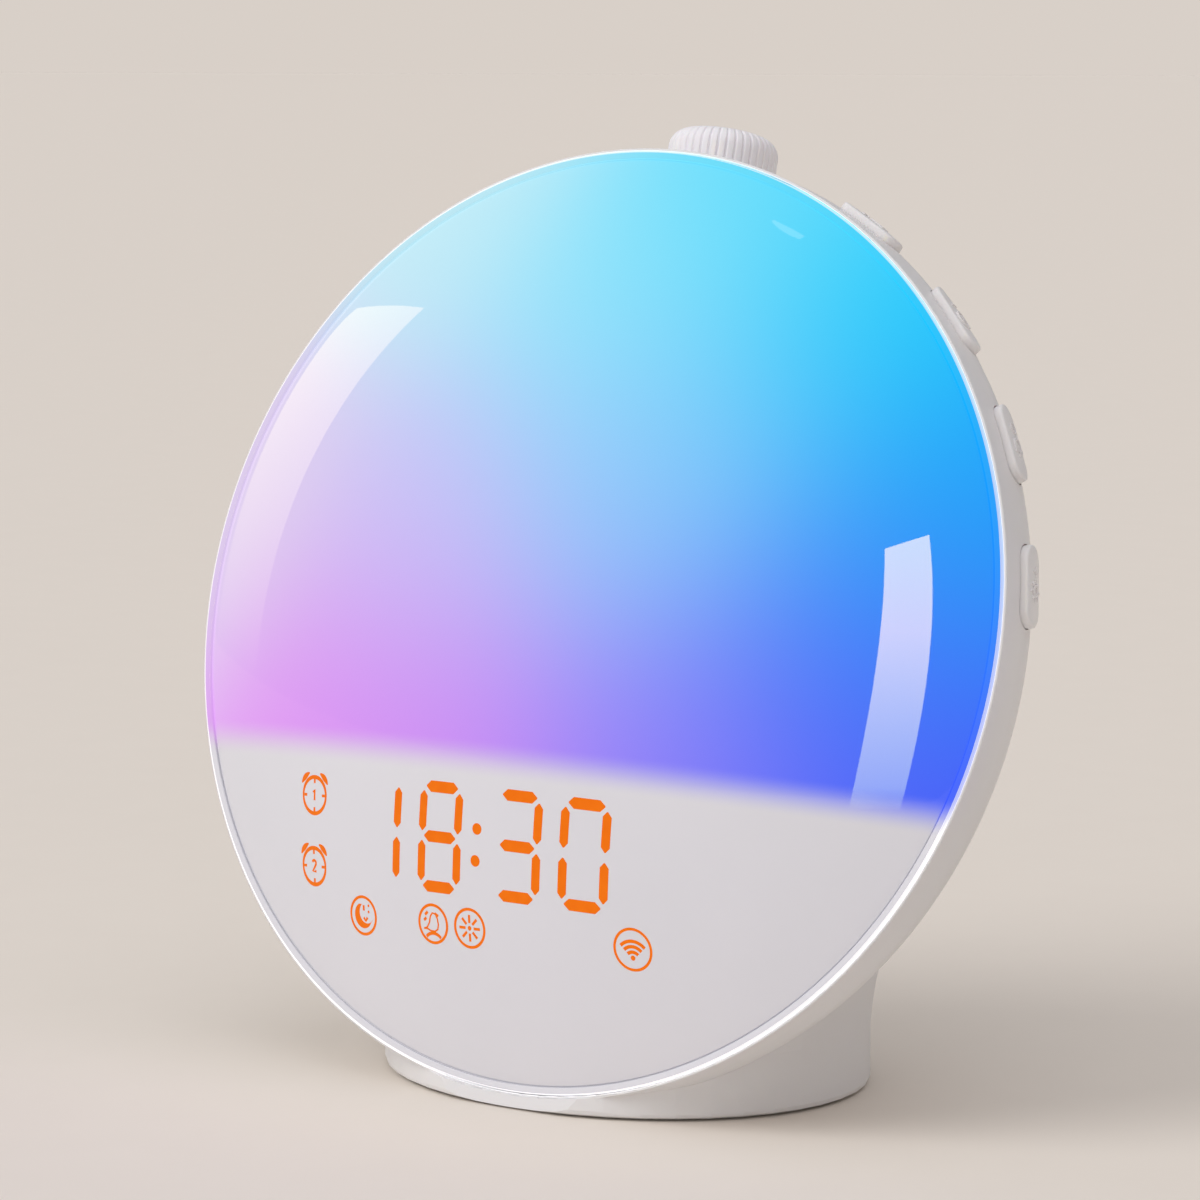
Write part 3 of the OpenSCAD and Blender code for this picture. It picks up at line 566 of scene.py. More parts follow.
# %% The time, in bars
DIGIT_V, DIGIT_STEP, DIGIT_HALF_W, DIGIT_LEAN = -44.9, 9.1, 4.28, 0.05
STANDING, LYING = (7.3, 1.8), (7.5, 2.1)  # length and width of a bar
COLON_U, COLON_V, COLON_STEP, COLON_R = -3.95, DIGIT_V - 0.6, 2.9, 1.05
BARS = {"top": (0, 1), "middle": (0, 0), "bottom": (0, -1), "upper_left": (-1, 0.5),
        "lower_left": (-1, -0.5), "upper_right": (1, 0.5), "lower_right": (1, -0.5)}
RIGHT_BARS = ["upper_right", "lower_right"]
SHOWN = {  # the digit's place across: its bars
    -27.6: RIGHT_BARS,
    -12.6: list(BARS),
    5.3: RIGHT_BARS + ["top", "middle", "bottom"],
    19.5: RIGHT_BARS + ["top", "bottom", "upper_left", "lower_left"],
}
upright = Vector((DIGIT_LEAN, 1)).normalized()
bars = []
for u, names in SHOWN.items():
    for side, row in (BARS[n] for n in names):
        middle = (u + side * DIGIT_HALF_W + row * DIGIT_STEP * DIGIT_LEAN, DIGIT_V + row * DIGIT_STEP)
        bars.append(pointed_bar(middle, *STANDING, upright) if side else pointed_bar(middle, *LYING, (1, 0)))
for row in (-1, 1):
    bars.append(dot((COLON_U + row * 0.2, COLON_V + row * COLON_STEP), COLON_R))
print(len(bars), "strips of light in the time")

# %% The signs, in rings and strokes
RING_R, THIN, THICK = 3.42, 0.26, 0.3
ALARM_R, ALARM_STEPS, BELL_R, BELL_STEPS = 3.4, 48, 4.4, 10


def alarm_sign(numeral):
    """A small alarm clock round a numeral, with two bells and four marks. It is thickest above and below."""
    edge = curve((0, 0), ALARM_R, 0, 360, ALARM_STEPS)[:-1]
    edge_half = [0.24 + 0.13 * abs(math.sin(2 * math.pi * k / ALARM_STEPS)) for k in range(ALARM_STEPS)]
    bells = [curve((0, 0), BELL_R, start, end, BELL_STEPS) for start, end in ((111, 151), (69, 29))]
    bell_half = [0.12 + 0.42 * math.sin(math.pi * k / BELL_STEPS) for k in range(BELL_STEPS + 1)]
    marks = [[around((0, 0), r, turn) for r in (3.1, 2.25)] for turn in (0, 90, 180, 270)]
    return [strip(edge, edge_half, closed=True)] + [strip(bell, bell_half) for bell in bells] \
        + [strip(mark, THIN) for mark in marks] + [strip(numeral, 0.25)]


ONE = [(-0.45, 0.55), (0.02, 1.05), (0.02, -0.95)]
TWO = curve((0, 0.55), 0.55, 160, -35, 8) + [(-0.5, -0.95), (0.6, -0.95)]
NIGHT = [ring((0, 0), RING_R, THIN),  # a crescent moon with small stars
         filled(curve((0, 0), 2.35, 118, 335, 24), curve((0.95, 0.55), 1.95, 128, 325, 24)),
         strip([(0.2, 1.9), (0.2, 0.9)], THIN), dot((1.55, 1.9), 0.25), dot((1.5, 0.75), 0.25),
         strip([(0.1, -0.35), (0.6, -0.95), (1.1, -0.3)], THIN)]
BIRD_LINE = [(-2.3, -1.0), (-1.5, -0.75), (-0.9, 0.15), (-0.6, 1.3), (-0.1, 1.95), (0.65, 1.85), (1.1, 1.0),
             (1.3, 0), (1.1, -0.9), (0.4, -1.35), (-0.6, -1.3), (-1.5, -0.95), (-2.3, -1.0)]
BIRD = [ring((0, 0), RING_R, THIN), strip(BIRD_LINE, 0.16),  # on a hill, for sounds of nature
        strip([(0.55, 1.9), (1.35, 1.5)], THIN), strip([(-1.9, 1.5), (-1.2, 2.1)], THIN),
        strip([(-2.2, 0.5), (-1.6, 0.95)], THIN), strip(curve((0, -4.2), 2.5, 135, 45, 12), THICK)]
SUN = [ring((0, 0), RING_R, THIN), dot((0, 0), 0.42)] + rays(0.95, 2.4, 8, 0.25)
WAVES = [ring((0, 0), 3.6, 0.24), dot((0, -1.5), 0.45)] \
    + [strip(curve((0, -1.9), r, 135, 45, 14), THICK) for r in (1.45, 2.4, 3.35)]  # for the wireless link
SIGNS = [(alarm_sign(ONE), -46.5, -39.75), (alarm_sign(TWO), -46.8, -53.0), (NIGHT, -33, -61),
         (BIRD, -14.7, -60.8), (SUN, -5.9, -60.7), (WAVES, 29, -60.4)]
signs = [stroke for strokes, u, v in SIGNS for stroke in placed(strokes, u, v)]
print(len(signs), "strokes in the signs")

# %% Orange light
FILM = 0.03
light_orange, tree, shader = new_material("light_orange", {
    "Emission Strength": 0.89, "Roughness": 0.05, "Specular IOR Level": 0.12})
orange = mix(tree, noise(tree, 420, 1), colour("#ee6c04"), colour("#f8790c"))
feed(shader, {"Emission Color": orange, "Base Color": mix(tree, 0.9, orange, BLACK)})
for name, strips in (("display_digits", bars), ("display_signs", signs)):
    piece = film(name, strips, on_dome, FILM, light_orange)
    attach(piece, "clock")
    print(name, len(piece.data.polygons), "faces")

# %% [markdown]
# ## The housing
#
# The white housing is one moulding: the round body, the foot with its neck, and the collar under the knob.
# Its CAD mesh has the right shape, but it is made of loose triangles that all catch the light one by one.
# A copy gets its doubled points merged, so that neighbouring triangles can share a smooth normal, and it
# stands for the CAD piece. Edges sharper than an angle stay crisp. On the housing this is 10 degrees,
# because the foot meets the rim at hardly more, and a shared normal there would smear light over the foot.
# A weighted normal then lets the large faces of a corner decide its shading, which keeps flat places flat.


# %% Smooth copies of CAD pieces
def smooth_copy(node, material, angle):
    mesh = nodes[node].data.copy()
    draft = bmesh.new()
    draft.from_mesh(mesh)
    bmesh.ops.remove_doubles(draft, verts=draft.verts, dist=2e-6)
    bmesh.ops.dissolve_degenerate(draft, edges=draft.edges, dist=1e-6)
    draft.to_mesh(mesh)
    draft.free()
    piece = finish_piece(node + "_smooth", mesh, material, angle)
    even = piece.modifiers.new("even_normals", "WEIGHTED_NORMAL")
    even.keep_sharp = True
    keep_result(piece, even)
    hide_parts(node)
    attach(piece, "clock")
    print(piece.name, len(piece.data.polygons), "triangles")


smooth_copy("main_housing", white_shell, 10)
smooth_copy("rear_cover", white_shell, 30)
smooth_copy("base_plate", inner_white, 30)

# %% [markdown]
# ## Keys with soft edges
#
# A key that a finger pushes has an edge rounded by about half a millimetre. Its face follows the body's
# curve, 1.5 mm above it. Both are easy to say with rings: each ring is the key's slot-shaped outline, drawn
# in by some inset, and its points are lifted to the face's height, less what the rounding takes away. The
# raised sign on each key, a small mark above a bigger one, is made of the same strips as the signs of light.

# %% Where a key is
KEY_HALF_L, KEY_HALF_W, KEY_EDGE = 7.5, 3.2, 0.5
KEY_BEHIND, KEY_PROUD, KEY_FOOT = 8.2, 1.5, 84.6  # behind the face, above the body, from the middle
KEY_FIRST, KEY_STEP = 8.5, 17  # degrees
BAND, BACK = 5.8, 34.9  # depth of the body's straight band, and of the round back behind it


def key_place(side, i, across, along, height):
    """A point of a key. across is to its right and along is up it, seen from outside."""
    angle = KEY_FIRST + KEY_STEP * (i - 1)
    c, s = around((0, 0), 1, angle if side > 0 else 180 - angle)
    return on_face(height * c - side * along * s, height * s + side * along * c, -KEY_BEHIND - side * across)


def key_height(across, along, side):
    depth = max(0, KEY_BEHIND + side * across - BAND)
    radius = (FACE_R + KEY_PROUD) * math.sqrt(1 - (depth / (BACK + KEY_PROUD)) ** 2)
    return math.sqrt(radius ** 2 - along ** 2)


def key_sign_surface(side, i):
    return lambda x, y, lift: key_place(side, i, x, y, key_height(x, y, side) + lift)


# %% Key caps
RING_POINTS, FACE_INSETS = 72, (1.3, 1.9, 2.5, 2.85)


def key_cap(side, i):
    """Points and faces of a key: its foot, the rounded edge and the rings of its face."""
    rings = [(0, None)] + [(KEY_EDGE - a, KEY_EDGE - b) for a, b in curve((0, 0), KEY_EDGE, 0, 90, 6)] \
        + [(inset, 0) for inset in FACE_INSETS]
    points, faces, n = [], [], RING_POINTS
    for inset, drop in rings:
        for k in range(n):
            x, y = around((0, 0), KEY_HALF_W - inset, 360 * (k + 0.5) / n)
            y += math.copysign(KEY_HALF_L - KEY_HALF_W, y)
            height = KEY_FOOT if drop is None else key_height(x, y, side) - drop
            points.append(key_place(side, i, x, y, height))
    top = (len(rings) - 1) * n
    for low in range(0, top, n):
        for k in range(n):
            after = (k + 1) % n
            faces.append((low + k, low + after, low + n + after, low + n + k))
    for base in (0, top):  # close the foot and the face, across the key
        quarter = n // 4
        for k in range(n // 2 - 1):
            a, b = base + (quarter - 1 - k) % n, base + (quarter - 2 - k) % n
            c, d = base + (quarter + 1 + k) % n, base + (quarter + k) % n
            faces.append((a, b, c, d) if a != b else (a, c, d))
    return points, faces


# %% Key signs
BOLD, LINE, FINE = 0.22, 0.17, 0.14
KEY_STROKES = {  # each about 3 mm high
    "plus": [strip([(-1.3, 0), (1.3, 0)], BOLD), strip([(0, 0.22), (0, 1.3)], BOLD),
             strip([(0, -1.3), (0, -0.22)], BOLD)],
    "minus": [strip([(-1.3, 0), (1.3, 0)], BOLD)],
    "moon": [filled(curve((0, 0), 1.6, 70, 290, 20), curve((0.55, 0), 1.25, 82, 278, 20))],
    "bulb": [strip(curve((0, 0.4), 1.1, -60, 240, 22), LINE), strip([(-0.5, -0.95), (0.5, -0.95)], LINE),
             strip([(-0.4, -1.5), (0.4, -1.5)], LINE)],
    "bell": [strip([(-1.3, -0.8), (1.3, -0.8)], LINE), strip(curve((0, 0.2), 0.95, 0, 180, 14), LINE),
             strip([(-0.95, 0.2), (-1.1, -0.62)], LINE), strip([(0.95, 0.2), (1.1, -0.62)], LINE),
             dot((0, -1.4), 0.3)],
    "note": [dot((-0.6, -1.1), 0.48), dot((0.8, -0.85), 0.48), strip([(-0.25, -1.0), (-0.25, 1.2)], FINE),
             strip([(1.15, -0.75), (1.15, 1.45)], FINE), strip([(-0.39, 1.2), (1.29, 1.45)], THIN)],
    "clock": [ring((0, 0), 1.4, 0.16), strip([(0, 0.9), (0, 0), (0.6, -0.35)], FINE)],
    "sun": [ring((0, 0), 0.75, 0.16, 24)] + rays(1.05, 1.6, 8, 0.15),
}
KEY_SIGNS = {  # from the lowest key up: the sign and the small mark above it
    "right": (("sun", "plus"), ("bell", "clock"), ("clock", "minus"), ("note", "plus")),
    "left": (("sun", "minus"), ("bulb", "plus"), ("moon", "minus"), ("bell", "plus")),
}


def key_sign(sign, mark):
    """The raised sign of a key, about 6 mm high, with a small mark above it."""
    return placed(KEY_STROKES[sign], 0, -1, 1.3) + placed(KEY_STROKES[mark], 0, 2.6, 0.7)


print(len(KEY_STROKES), "shapes for the key signs")

# %% Make the keys
RAISED = 0.18
for side, word in ((1, "right"), (-1, "left")):
    for i in range(1, 5):
        cap = make_piece(f"{word}_key_cap_{i}", *key_cap(side, i), key_white, smooth_angle=50)
        sign = film(f"{word}_key_sign_{i}", key_sign(*KEY_SIGNS[word][i - 1]), key_sign_surface(side, i),
                    RAISED, key_white, sink=0.2)
        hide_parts(f"{word}_button_{i}")
        for piece in (cap, sign):
            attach(piece, f"{word}_key_{i}")
print("8 keys of", len(cap.data.polygons), "faces each")

# %% [markdown]
# ## The knob and its flutes
#
# The knob turns and pushes. Thin grooves in its side give the fingers a grip. Forty grooves cut one by one
# would be slow and fixed, so the plain knob is spun first, and a Geometry Nodes tree then presses the
# grooves in. For each point, the tree finds the angle round the axis and how far that is from the nearest
# groove, and moves the point inwards. It only moves points that face outwards, so that the grooves run
# out in the rounded edge, and the hollow inside stays round.

# %% Geometry Nodes helpers
def end_tree(tree, geometry, material):
    """Ends a tree: copies become real points and faces, and get their material."""
    real = add(tree, "GeometryNodeRealizeInstances", {"Geometry": geometry})
    final = add(tree, "GeometryNodeSetMaterial", {"Geometry": real.outputs[0], "Material": material})
    add(tree, "NodeGroupOutput", {"Geometry": final.outputs[0]})


def grow(piece, tree, values):
    """Runs a tree on a piece with these input values, and leaves its result as a plain mesh."""
    modifier = piece.modifiers.new(tree.name, "NODES")
    modifier.node_group = tree
    for item in tree.interface.items_tree:
        if item.item_type == "SOCKET" and item.in_out == "INPUT" and item.name in values:
            modifier[item.identifier] = values[item.name]
    keep_result(piece, modifier)


# %% Flute tree
flutes, given = new_group("press_flutes", "GeometryNodeTree",
                          [("Geometry", "Geometry", None), ("Flutes", "Int", 40), ("Depth", "Float", 0.0004),
                           ("Half Width", "Float", 0.0004), ("Material", "Material", None)],
                          [("Geometry", "Geometry")])
position = flutes.nodes.new("GeometryNodeInputPosition").outputs[0]
normal = flutes.nodes.new("GeometryNodeInputNormal").outputs[0]
x, y, _ = parted(flutes, position)
radial = joined(flutes, x, y)
outward = vector_calc(flutes, "NORMALIZE", radial)
radius = vector_calc(flutes, "LENGTH", radial, output="Value")
turns = calc(flutes, "DIVIDE", calc(flutes, "ARCTAN2", y, x), 2 * math.pi)
phase = calc(flutes, "MULTIPLY", turns, given["Flutes"])
off = calc(flutes, "ABSOLUTE", calc(flutes, "SUBTRACT", phase, calc(flutes, "ROUND", phase)))
pitch = calc(flutes, "DIVIDE", calc(flutes, "MULTIPLY", radius, 2 * math.pi), given["Flutes"])
distance = calc(flutes, "MULTIPLY", off, pitch)
groove = ramp(flutes, distance, 0, given["Half Width"], start=1, end=0, soft=True)
facing = vector_calc(flutes, "DOT_PRODUCT", normal, outward, output="Value")
outside = ramp(flutes, facing, 0.15, 0.6, soft=True)
depth = calc(flutes, "MULTIPLY", calc(flutes, "MULTIPLY", groove, outside), given["Depth"])
push = scaled(flutes, outward, calc(flutes, "MULTIPLY", depth, -1))
pressed = add(flutes, "GeometryNodeSetPosition", {"Geometry": given["Geometry"], "Offset": push})
end_tree(flutes, pressed.outputs[0], given["Material"])
print("press_flutes has", len(flutes.nodes), "nodes")

# %% Spin and flute the knob
KNOB_R, KNOB_BEHIND, KNOB_LOW, KNOB_TOP, KNOB_EDGE = 10.7, 24, 88.8, 98.7, 3.6
HOLLOW_R, HOLLOW_TOP, HOLE_R, HOLE_TOP = 8.2, 92, 3.02, 96.9
KNOB_SIDES, SIDE_ROWS, KNOB_SMOOTH = 640, 6, 50
side_top, side_low = KNOB_TOP - KNOB_EDGE, KNOB_LOW + 0.2
knob_profile = [(0, KNOB_TOP), (3, KNOB_TOP - 0.02), (5.2, KNOB_TOP - 0.05)] \
    + curve((KNOB_R - KNOB_EDGE, side_top - 0.08), KNOB_EDGE, 88, 0, 14) \
    + [(KNOB_R, side_top - k * (side_top - side_low) / SIDE_ROWS) for k in range(1, SIDE_ROWS + 1)] \
    + [(KNOB_R - 0.06, KNOB_LOW + 0.06), (KNOB_R - 0.2, KNOB_LOW), (HOLLOW_R, KNOB_LOW),
       (HOLLOW_R, HOLLOW_TOP), (HOLE_R, HOLLOW_TOP), (HOLE_R, HOLE_TOP), (0, HOLE_TOP)]
knob = lathe("fluted_knob", knob_profile, lambda x, y, h: Vector((x, y, h)) * MM, KNOB_SIDES, knob_white,
             KNOB_SMOOTH)
grow(knob, flutes, {"Flutes": 40, "Depth": 0.42 * MM, "Half Width": 0.36 * MM, "Material": knob_white})
# From the knob's own upright frame to its place on the clock
knob_frame = Matrix((ACROSS, -OUT, UP)).transposed().to_4x4()
knob_frame.translation = on_face(0, 0, -KNOB_BEHIND)
knob.data.transform(knob_frame)
knob.data.set_sharp_from_angle(angle=math.radians(KNOB_SMOOTH))
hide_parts("knob")
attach(knob, "knob_group")
print("knob:", len(knob.data.polygons), "faces")

# %% [markdown]
# ## Screws
#
# Small screws hold the rear cover, the base plate and the inner boards. All have a round head with a cross
# recess, so one tree makes them: it builds one screw from plain shapes, cuts the cross out of its head,
# and sets a copy on each given point. Each copy is turned by its own random angle, from a fixed seed,
# because nobody lines screws up by hand.

# %% Screw tree
screw_tree, given = new_group("set_screws", "GeometryNodeTree",
                              [("Geometry", "Geometry", None), ("Head Radius", "Float", 0.0022),
                               ("Head Height", "Float", 0.0009), ("Shank Radius", "Float", 0.0011),
                               ("Shank Length", "Float", 0.006), ("Axis", "Rotation", None),
                               ("Seed", "Int", 7), ("Material", "Material", None)],
                              [("Geometry", "Geometry")])


def part_of(name, share):
    return calc(screw_tree, "MULTIPLY", given[name], share)


def moved(geometry, z, turn=0):
    values = {"Geometry": geometry, "Translation": joined(screw_tree, z=z), "Rotation": (0, 0, turn)}
    return add(screw_tree, "GeometryNodeTransform", values).outputs[0]


def number_socket(sockets, name):
    """One name stands for a socket of each type here, and this finds the one for plain numbers."""
    return next(s for s in sockets if s.name == name and s.type == "VALUE")


rim = add(screw_tree, "GeometryNodeMeshCylinder", {
    "Vertices": 32, "Radius": given["Head Radius"], "Depth": part_of("Head Height", 0.55)}).outputs["Mesh"]
cap = add(screw_tree, "GeometryNodeMeshCone", {
    "Vertices": 32, "Radius Top": part_of("Head Radius", 0.7), "Radius Bottom": given["Head Radius"],
    "Depth": part_of("Head Height", 0.45)}).outputs["Mesh"]
head = add(screw_tree, "GeometryNodeMeshBoolean", operation="UNION")
for shape, height in ((rim, 0.275), (cap, 0.549)):
    screw_tree.links.new(moved(shape, part_of("Head Height", height)), head.inputs["Mesh 2"])
cut = add(screw_tree, "GeometryNodeMeshBoolean", {"Mesh 1": head.outputs[0]}, operation="DIFFERENCE")
size = joined(screw_tree, part_of("Head Radius", 1.15), part_of("Head Radius", 0.24), given["Head Height"])
blade = add(screw_tree, "GeometryNodeMeshCube", {"Size": size}).outputs["Mesh"]
for turn in (0, math.pi / 2):
    screw_tree.links.new(moved(blade, part_of("Head Height", 0.95), turn), cut.inputs["Mesh 2"])
shank = add(screw_tree, "GeometryNodeMeshCylinder", {
    "Vertices": 16, "Radius": given["Shank Radius"], "Depth": given["Shank Length"]}).outputs["Mesh"]
whole = screw_tree.nodes.new("GeometryNodeJoinGeometry")
for shape in (cut.outputs[0], moved(shank, part_of("Shank Length", -0.499))):
    screw_tree.links.new(shape, whole.inputs[0])
chance = add(screw_tree, "FunctionNodeRandomValue", {"Seed": given["Seed"]}, data_type="FLOAT")
number_socket(chance.inputs, "Max").default_value = math.pi
spin = joined(screw_tree, z=number_socket(chance.outputs, "Value"))
own_turn = add(screw_tree, "FunctionNodeRotateRotation", {"Rotation": given["Axis"], "Rotate By": spin},
               rotation_space="LOCAL").outputs[0]
copies = add(screw_tree, "GeometryNodeInstanceOnPoints", {
    "Points": given["Geometry"], "Instance": whole.outputs[0], "Rotation": own_turn})
end_tree(screw_tree, copies.outputs[0], given["Material"])
print("set_screws has", len(screw_tree.nodes), "nodes")


# %% Places of the screws
def screw_ring(angles, radius, rise=0):
    """Places (across, up) on a circle whose middle is some way up the face."""
    return [around((0, rise), radius, angle) for angle in angles]


def back_at(u, v):
    """Depth of the round back behind the rim."""
    return BAND + BACK * math.sqrt(1 - (u * u + v * v) / FACE_R ** 2)


COVER_RISE, DIAGONAL = 20, math.sqrt(0.5)
FOUR_CORNERS = [(x, y) for x in (-1, 1) for y in (-1, 1)]
cover_points = [on_face(u, v, 1.1 - back_at(u, v)) for u, v in screw_ring((90, 210, 330), 30.6, COVER_RISE)]
base_points = [Vector((x * 35 * DIAGONAL, 2 + y * 23.5 * DIAGONAL, 1.95)) * MM for x, y in FOUR_CORNERS]
tray_points = [on_face(u, v, -3.2) for u, v in screw_ring((78, 102, -12, -42, -138, -168), 77)]
board_points = [on_face(x * 44, 6 + y * 25, -14.4) for x, y in FOUR_CORNERS]
speaker_points = [on_face(u, v, -31) for u, v in screw_ring((45, 135, 225, 315), 22.9, COVER_RISE)]
forward = Matrix((ACROSS, UP, OUT)).transposed().to_euler()
backward = Matrix((-ACROSS, UP, -OUT)).transposed().to_euler()
downward = Matrix.Rotation(math.pi, 3, "X").to_euler()
SCREWS = {  # node: (points, direction of the head, head radius, head height, shank length)
    "cover_screws": (cover_points, backward, 2.2, 0.9, 7),
    "base_screws": (base_points, downward, 2.2, 0.7, 6),
    "tray_screws": (tray_points, forward, 2.4, 1.2, 8),
    "board_screws": (board_points, forward, 2.4, 1.4, 8),
    "speaker_screws": (speaker_points, forward, 1.9, 1.2, 4.4),
}
print(sum(len(row[0]) for row in SCREWS.values()), "screws to set")

# %% Set the screws
for node, (points, axis, head_r, head_h, shank) in SCREWS.items():
    mesh = bpy.data.meshes.new(node)
    mesh.from_pydata([tuple(p) for p in points], [], [])
    piece = bpy.data.objects.new(node + "_cross", mesh)
    bpy.context.scene.collection.objects.link(piece)
    grow(piece, screw_tree, {"Head Radius": head_r * MM, "Head Height": head_h * MM,
                             "Shank Length": shank * MM, "Axis": axis, "Seed": 7, "Material": steel})
    low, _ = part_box(node)
    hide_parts(node)
    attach(piece, "clock")
    off = [abs(min(v.co[k] for v in piece.data.vertices) - low[k]) for k in range(3)]
    print(node, len(piece.data.polygons), "faces, off by", round(1000 * max(off), 2), "mm")

# %% [markdown]
# ## Finishes for the rest
#
# The other pieces keep their CAD shape and get a finish. Most are inside the closed housing, but they are
# seen when the clock is opened, and each is made of something: green boards, a paper cone, a steel cell.

# %% Dress the inner pieces
PLUNGERS = [f"{word}_plunger_{i}" for word in ("right", "left") for i in range(1, 5)]
DRESS = [  # (material, slot, the pieces that get it)
    (inner_white, "inner_white", ["light_tray", "display_case"]),
    (board_white, "inner_white", ["light_board"]),
    (led_white, "led_white", ["light_leds"]),
    (led_orange, "led_orange", ["display_leds"]),
    (board_green, "board_green", ["display_board", "right_key_board", "left_key_board", "encoder_board",
                                  "main_board"]),
    (rubber_grey, "rubber_grey", ["rubber_foot", "speaker_gasket"]),
    (grey_plastic, "grey_plastic", ["right_switches", "left_switches", "board_parts", "speaker_frame"]),
    (black_plastic, "black_plastic", ["encoder_actuator", "coin_cell_holder", "power_inlet"] + PLUNGERS),
    (steel, "steel", ["encoder_shaft", "encoder_nut", "wifi_module"]),
    (encoder_metal, "steel", ["encoder_body"]),
    (cell_steel, "cell_steel", ["coin_cell"]),
    (cone_black, "cone_black", ["speaker_cone"]),
    (magnet_metal, "magnet_metal", ["speaker_magnet"]),
]
for material, slot, names in DRESS:
    for node in names:
        for material_slot in nodes[node].material_slots:
            material_slot.material = material
print(sum(len(names) for _, _, names in DRESS), "pieces dressed")

# %% [markdown]
# ## A pale studio
#
# The floor is a wide sheet of pale card. Three very large soft lamps, far away, light it evenly, so that it
# has the same brightness near the clock and far off. A room of soft light does the rest: neutral on the
# left, and a little dimmer and warmer on the right, which models the round shapes. What the camera sees
# beyond the floor is worked out from the same numbers, as the brightness that the far floor has. So the
# floor and the background meet without a line.

# %% Lamps
LAMPS = {  # name: azimuth and elevation in degrees, strength, softness in degrees, tint
    "key_lamp": (-34, 38, 1.08, 40, "#fffcfa"),
    "top_lamp": (50, 72, 0.78, 60, "#fbfaff"),
    "fill_lamp": (22, 12, 0.24, 60, "#f4f6ff"),
}
ROOM_LEFT, ROOM_RIGHT, ROOM_STRENGTH = colour("#f7f8fa"), colour("#c4bbb6"), 0.52


def toward(azimuth, elevation, distance):
    """A point in a direction from the clock. Azimuth 0 is straight in front, positive to the right."""
    a, e = math.radians(azimuth), math.radians(elevation)
    direction = Vector((math.sin(a) * math.cos(e), -math.cos(a) * math.cos(e), math.sin(e)))
    return direction * distance + FACE_MIDDLE


floor_light = Vector([(a + b) / 2 * ROOM_STRENGTH for a, b in zip(ROOM_LEFT[:3], ROOM_RIGHT[:3])])
for name, (azimuth, elevation, strength, softness, tint) in LAMPS.items():
    lamp_data = bpy.data.lights.new(name, "SUN")
    lamp_data.energy = strength
    lamp_data.angle = math.radians(softness)
    lamp_data.color = colour(tint)[:3]
    lamp = bpy.data.objects.new(name, lamp_data)
    lamp.location = toward(azimuth, elevation, 2)
    lamp.rotation_euler = (FACE_MIDDLE - lamp.location).to_track_quat("-Z", "Y").to_euler()
    lamp.visible_glossy = False
    bpy.context.scene.collection.objects.link(lamp)
    floor_light += Vector(colour(tint)[:3]) * strength * math.sin(math.radians(elevation)) / math.pi
print("light on the floor:", [round(v, 2) for v in floor_light])

# %% Floor
FLOOR_COLOUR, FLOOR_SHADE, FLOOR_HALF = colour("#ebe4db"), colour("#e9e2d9"), 40
floor_material, tree, shader = new_material("floor_card", {"Roughness": 1, "Specular IOR Level": 0})
feed(shader, {"Base Color": mix(tree, noise(tree, 60, 4), FLOOR_SHADE, FLOOR_COLOUR)})
corners = [(x * FLOOR_HALF, y * FLOOR_HALF, 0) for x, y in ((-1, -1), (1, -1), (1, 1), (-1, 1))]
floor = make_piece("floor", corners, [(0, 1, 2, 3)], floor_material)
print("the floor is", 2 * FLOOR_HALF, "m wide")

# %% Room of light
world = bpy.data.worlds.new("studio")
bpy.context.scene.world = world
world.use_nodes = True
tree = world.node_tree
tree.nodes.clear()
rays_seen = tree.nodes.new("ShaderNodeLightPath").outputs
seen = calc(tree, "MAXIMUM", rays_seen["Is Camera Ray"], rays_seen["Is Transmission Ray"])
direction = parted(tree, tree.nodes.new("ShaderNodeTexCoord").outputs["Generated"])
sideways = ramp(tree, direction["X"], -1, 1)
room = add(tree, "ShaderNodeBackground", {"Color": mix(tree, sideways, ROOM_LEFT, ROOM_RIGHT),
                                          "Strength": ROOM_STRENGTH})
far_floor = [(a + b) / 2 * c for a, b, c in zip(FLOOR_COLOUR, FLOOR_SHADE, floor_light)]
beyond = add(tree, "ShaderNodeBackground", {"Color": (*far_floor, 1), "Strength": 1})
choice = add(tree, "ShaderNodeMixShader", {0: seen, 1: room.outputs[0], 2: beyond.outputs[0]})
add(tree, "ShaderNodeOutputWorld", {"Surface": choice.outputs[0]})
print("background:", [round(v, 2) for v in far_floor])

# %% [markdown]
# ## Softboxes that the dome mirrors
#
# A glossy dome looks glossy only when it mirrors something bright with clear edges. Three glowing cards
# stand round the clock, where the dome mirrors them: a tall one far to the left, a narrow one in front
# and a small one overhead. Only reflections see them, so they light nothing else. The edges of a card are
# curves through three places, and a ramp over its height makes it fade towards the foot. Under the glow the
# card is clear, so that a weak part doesn't mirror as a dark patch. The light is yellowish, because the
# glow on the dome is already as blue as a picture can show.

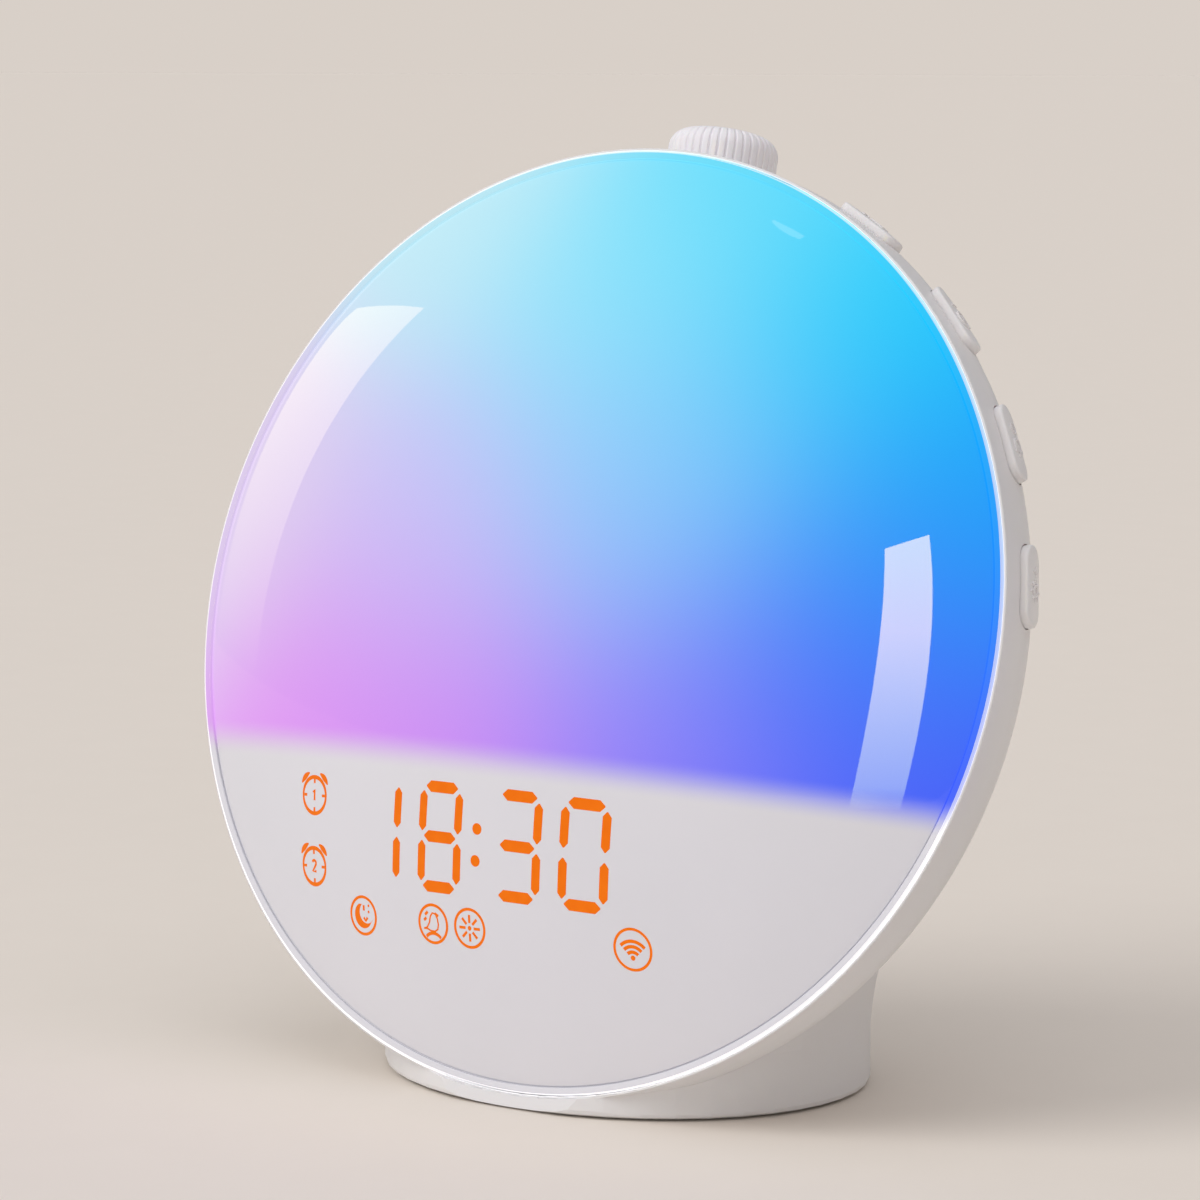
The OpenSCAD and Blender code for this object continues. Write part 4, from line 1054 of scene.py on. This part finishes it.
# %% Cards of light
CARD_AWAY, CARD_ROWS = 3, 12
CARDS = {  # name: (azimuth, elevation) of both edges at top, middle and foot, [(metres up, strength, tint)]
    "left_softbox": (
        [(-97.5, 24), (-98.9, 14), (-94.5, -2)], [(-84, 32.3), (-84.9, 16), (-82, -2)],
        [(0.05, 0, "#f0f080"), (0.8, 1.3, "#f0f090"), (1.7, 3.2, "#ffb87c")]),
    "right_softbox": (
        [(16, 31), (16.3, 16), (13.4, -3)], [(22.3, 33.1), (23.2, 17), (19.8, -3)],
        [(-0.02, 0, "#f0ff34"), (0.14, 6.4, "#f0ff34"), (0.5, 9.6, "#eeee3c"), (1.15, 14.5, "#fedc50")]),
    "small_card": (
        [(-43, 67.2), (-36, 67.3), (-30, 67.7)], [(-43, 67.5), (-36, 68.1), (-30, 68.3)],
        [(2, 1, "#ffe0b0"), (3, 2.2, "#ffe0b0")]),
}


def bend(a, b, c, t):
    """A point on the curve that passes through a, b and c at t 0, 0.5 and 1."""
    return [p * (1 - t) * (1 - 2 * t) + q * 4 * t * (1 - t) + r * t * (2 * t - 1) for p, q, r in zip(a, b, c)]


def glowing_card(name, edges, levels):
    """A card that only reflections see. levels gives its strength and tint at some heights."""
    material, tree, shader = new_material(name)
    tree.nodes.remove(shader)
    height = parted(tree, object_point(tree))["Z"]
    strength, tint = levels[0][1], colour(levels[0][2])
    for (low, weak, _), (high, strong, next_tint) in zip(levels, levels[1:]):
        climb = ramp(tree, height, low, high)
        strength = calc(tree, "ADD", calc(tree, "MULTIPLY", climb, strong - weak), strength)
        tint = mix(tree, climb, tint, colour(next_tint))
    light = add(tree, "ShaderNodeEmission", {"Color": tint, "Strength": strength})
    clear = tree.nodes.new("ShaderNodeBsdfTransparent")
    both = add(tree, "ShaderNodeAddShader", {0: light.outputs[0], 1: clear.outputs[0]})
    feed(tree.nodes["Material Output"], {"Surface": both.outputs[0]})
    points = [toward(*bend(*edge, k / CARD_ROWS), CARD_AWAY) for k in range(CARD_ROWS + 1) for edge in edges]
    faces = [(k, k + 1, k + 3, k + 2) for k in range(0, len(points) - 2, 2)]
    card = make_piece(name, points, faces, material)
    for kind in ("camera", "diffuse", "transmission", "volume_scatter", "shadow"):
        setattr(card, "visible_" + kind, False)


for name, (first_edge, second_edge, levels) in CARDS.items():
    glowing_card(name, (first_edge, second_edge), levels)
print(len(CARDS), "cards of light")

# %% [markdown]
# ## Finish
#
# Colours are shown with the Standard view transform.

# %% Finish
bpy.context.scene.view_settings.view_transform = "Standard"
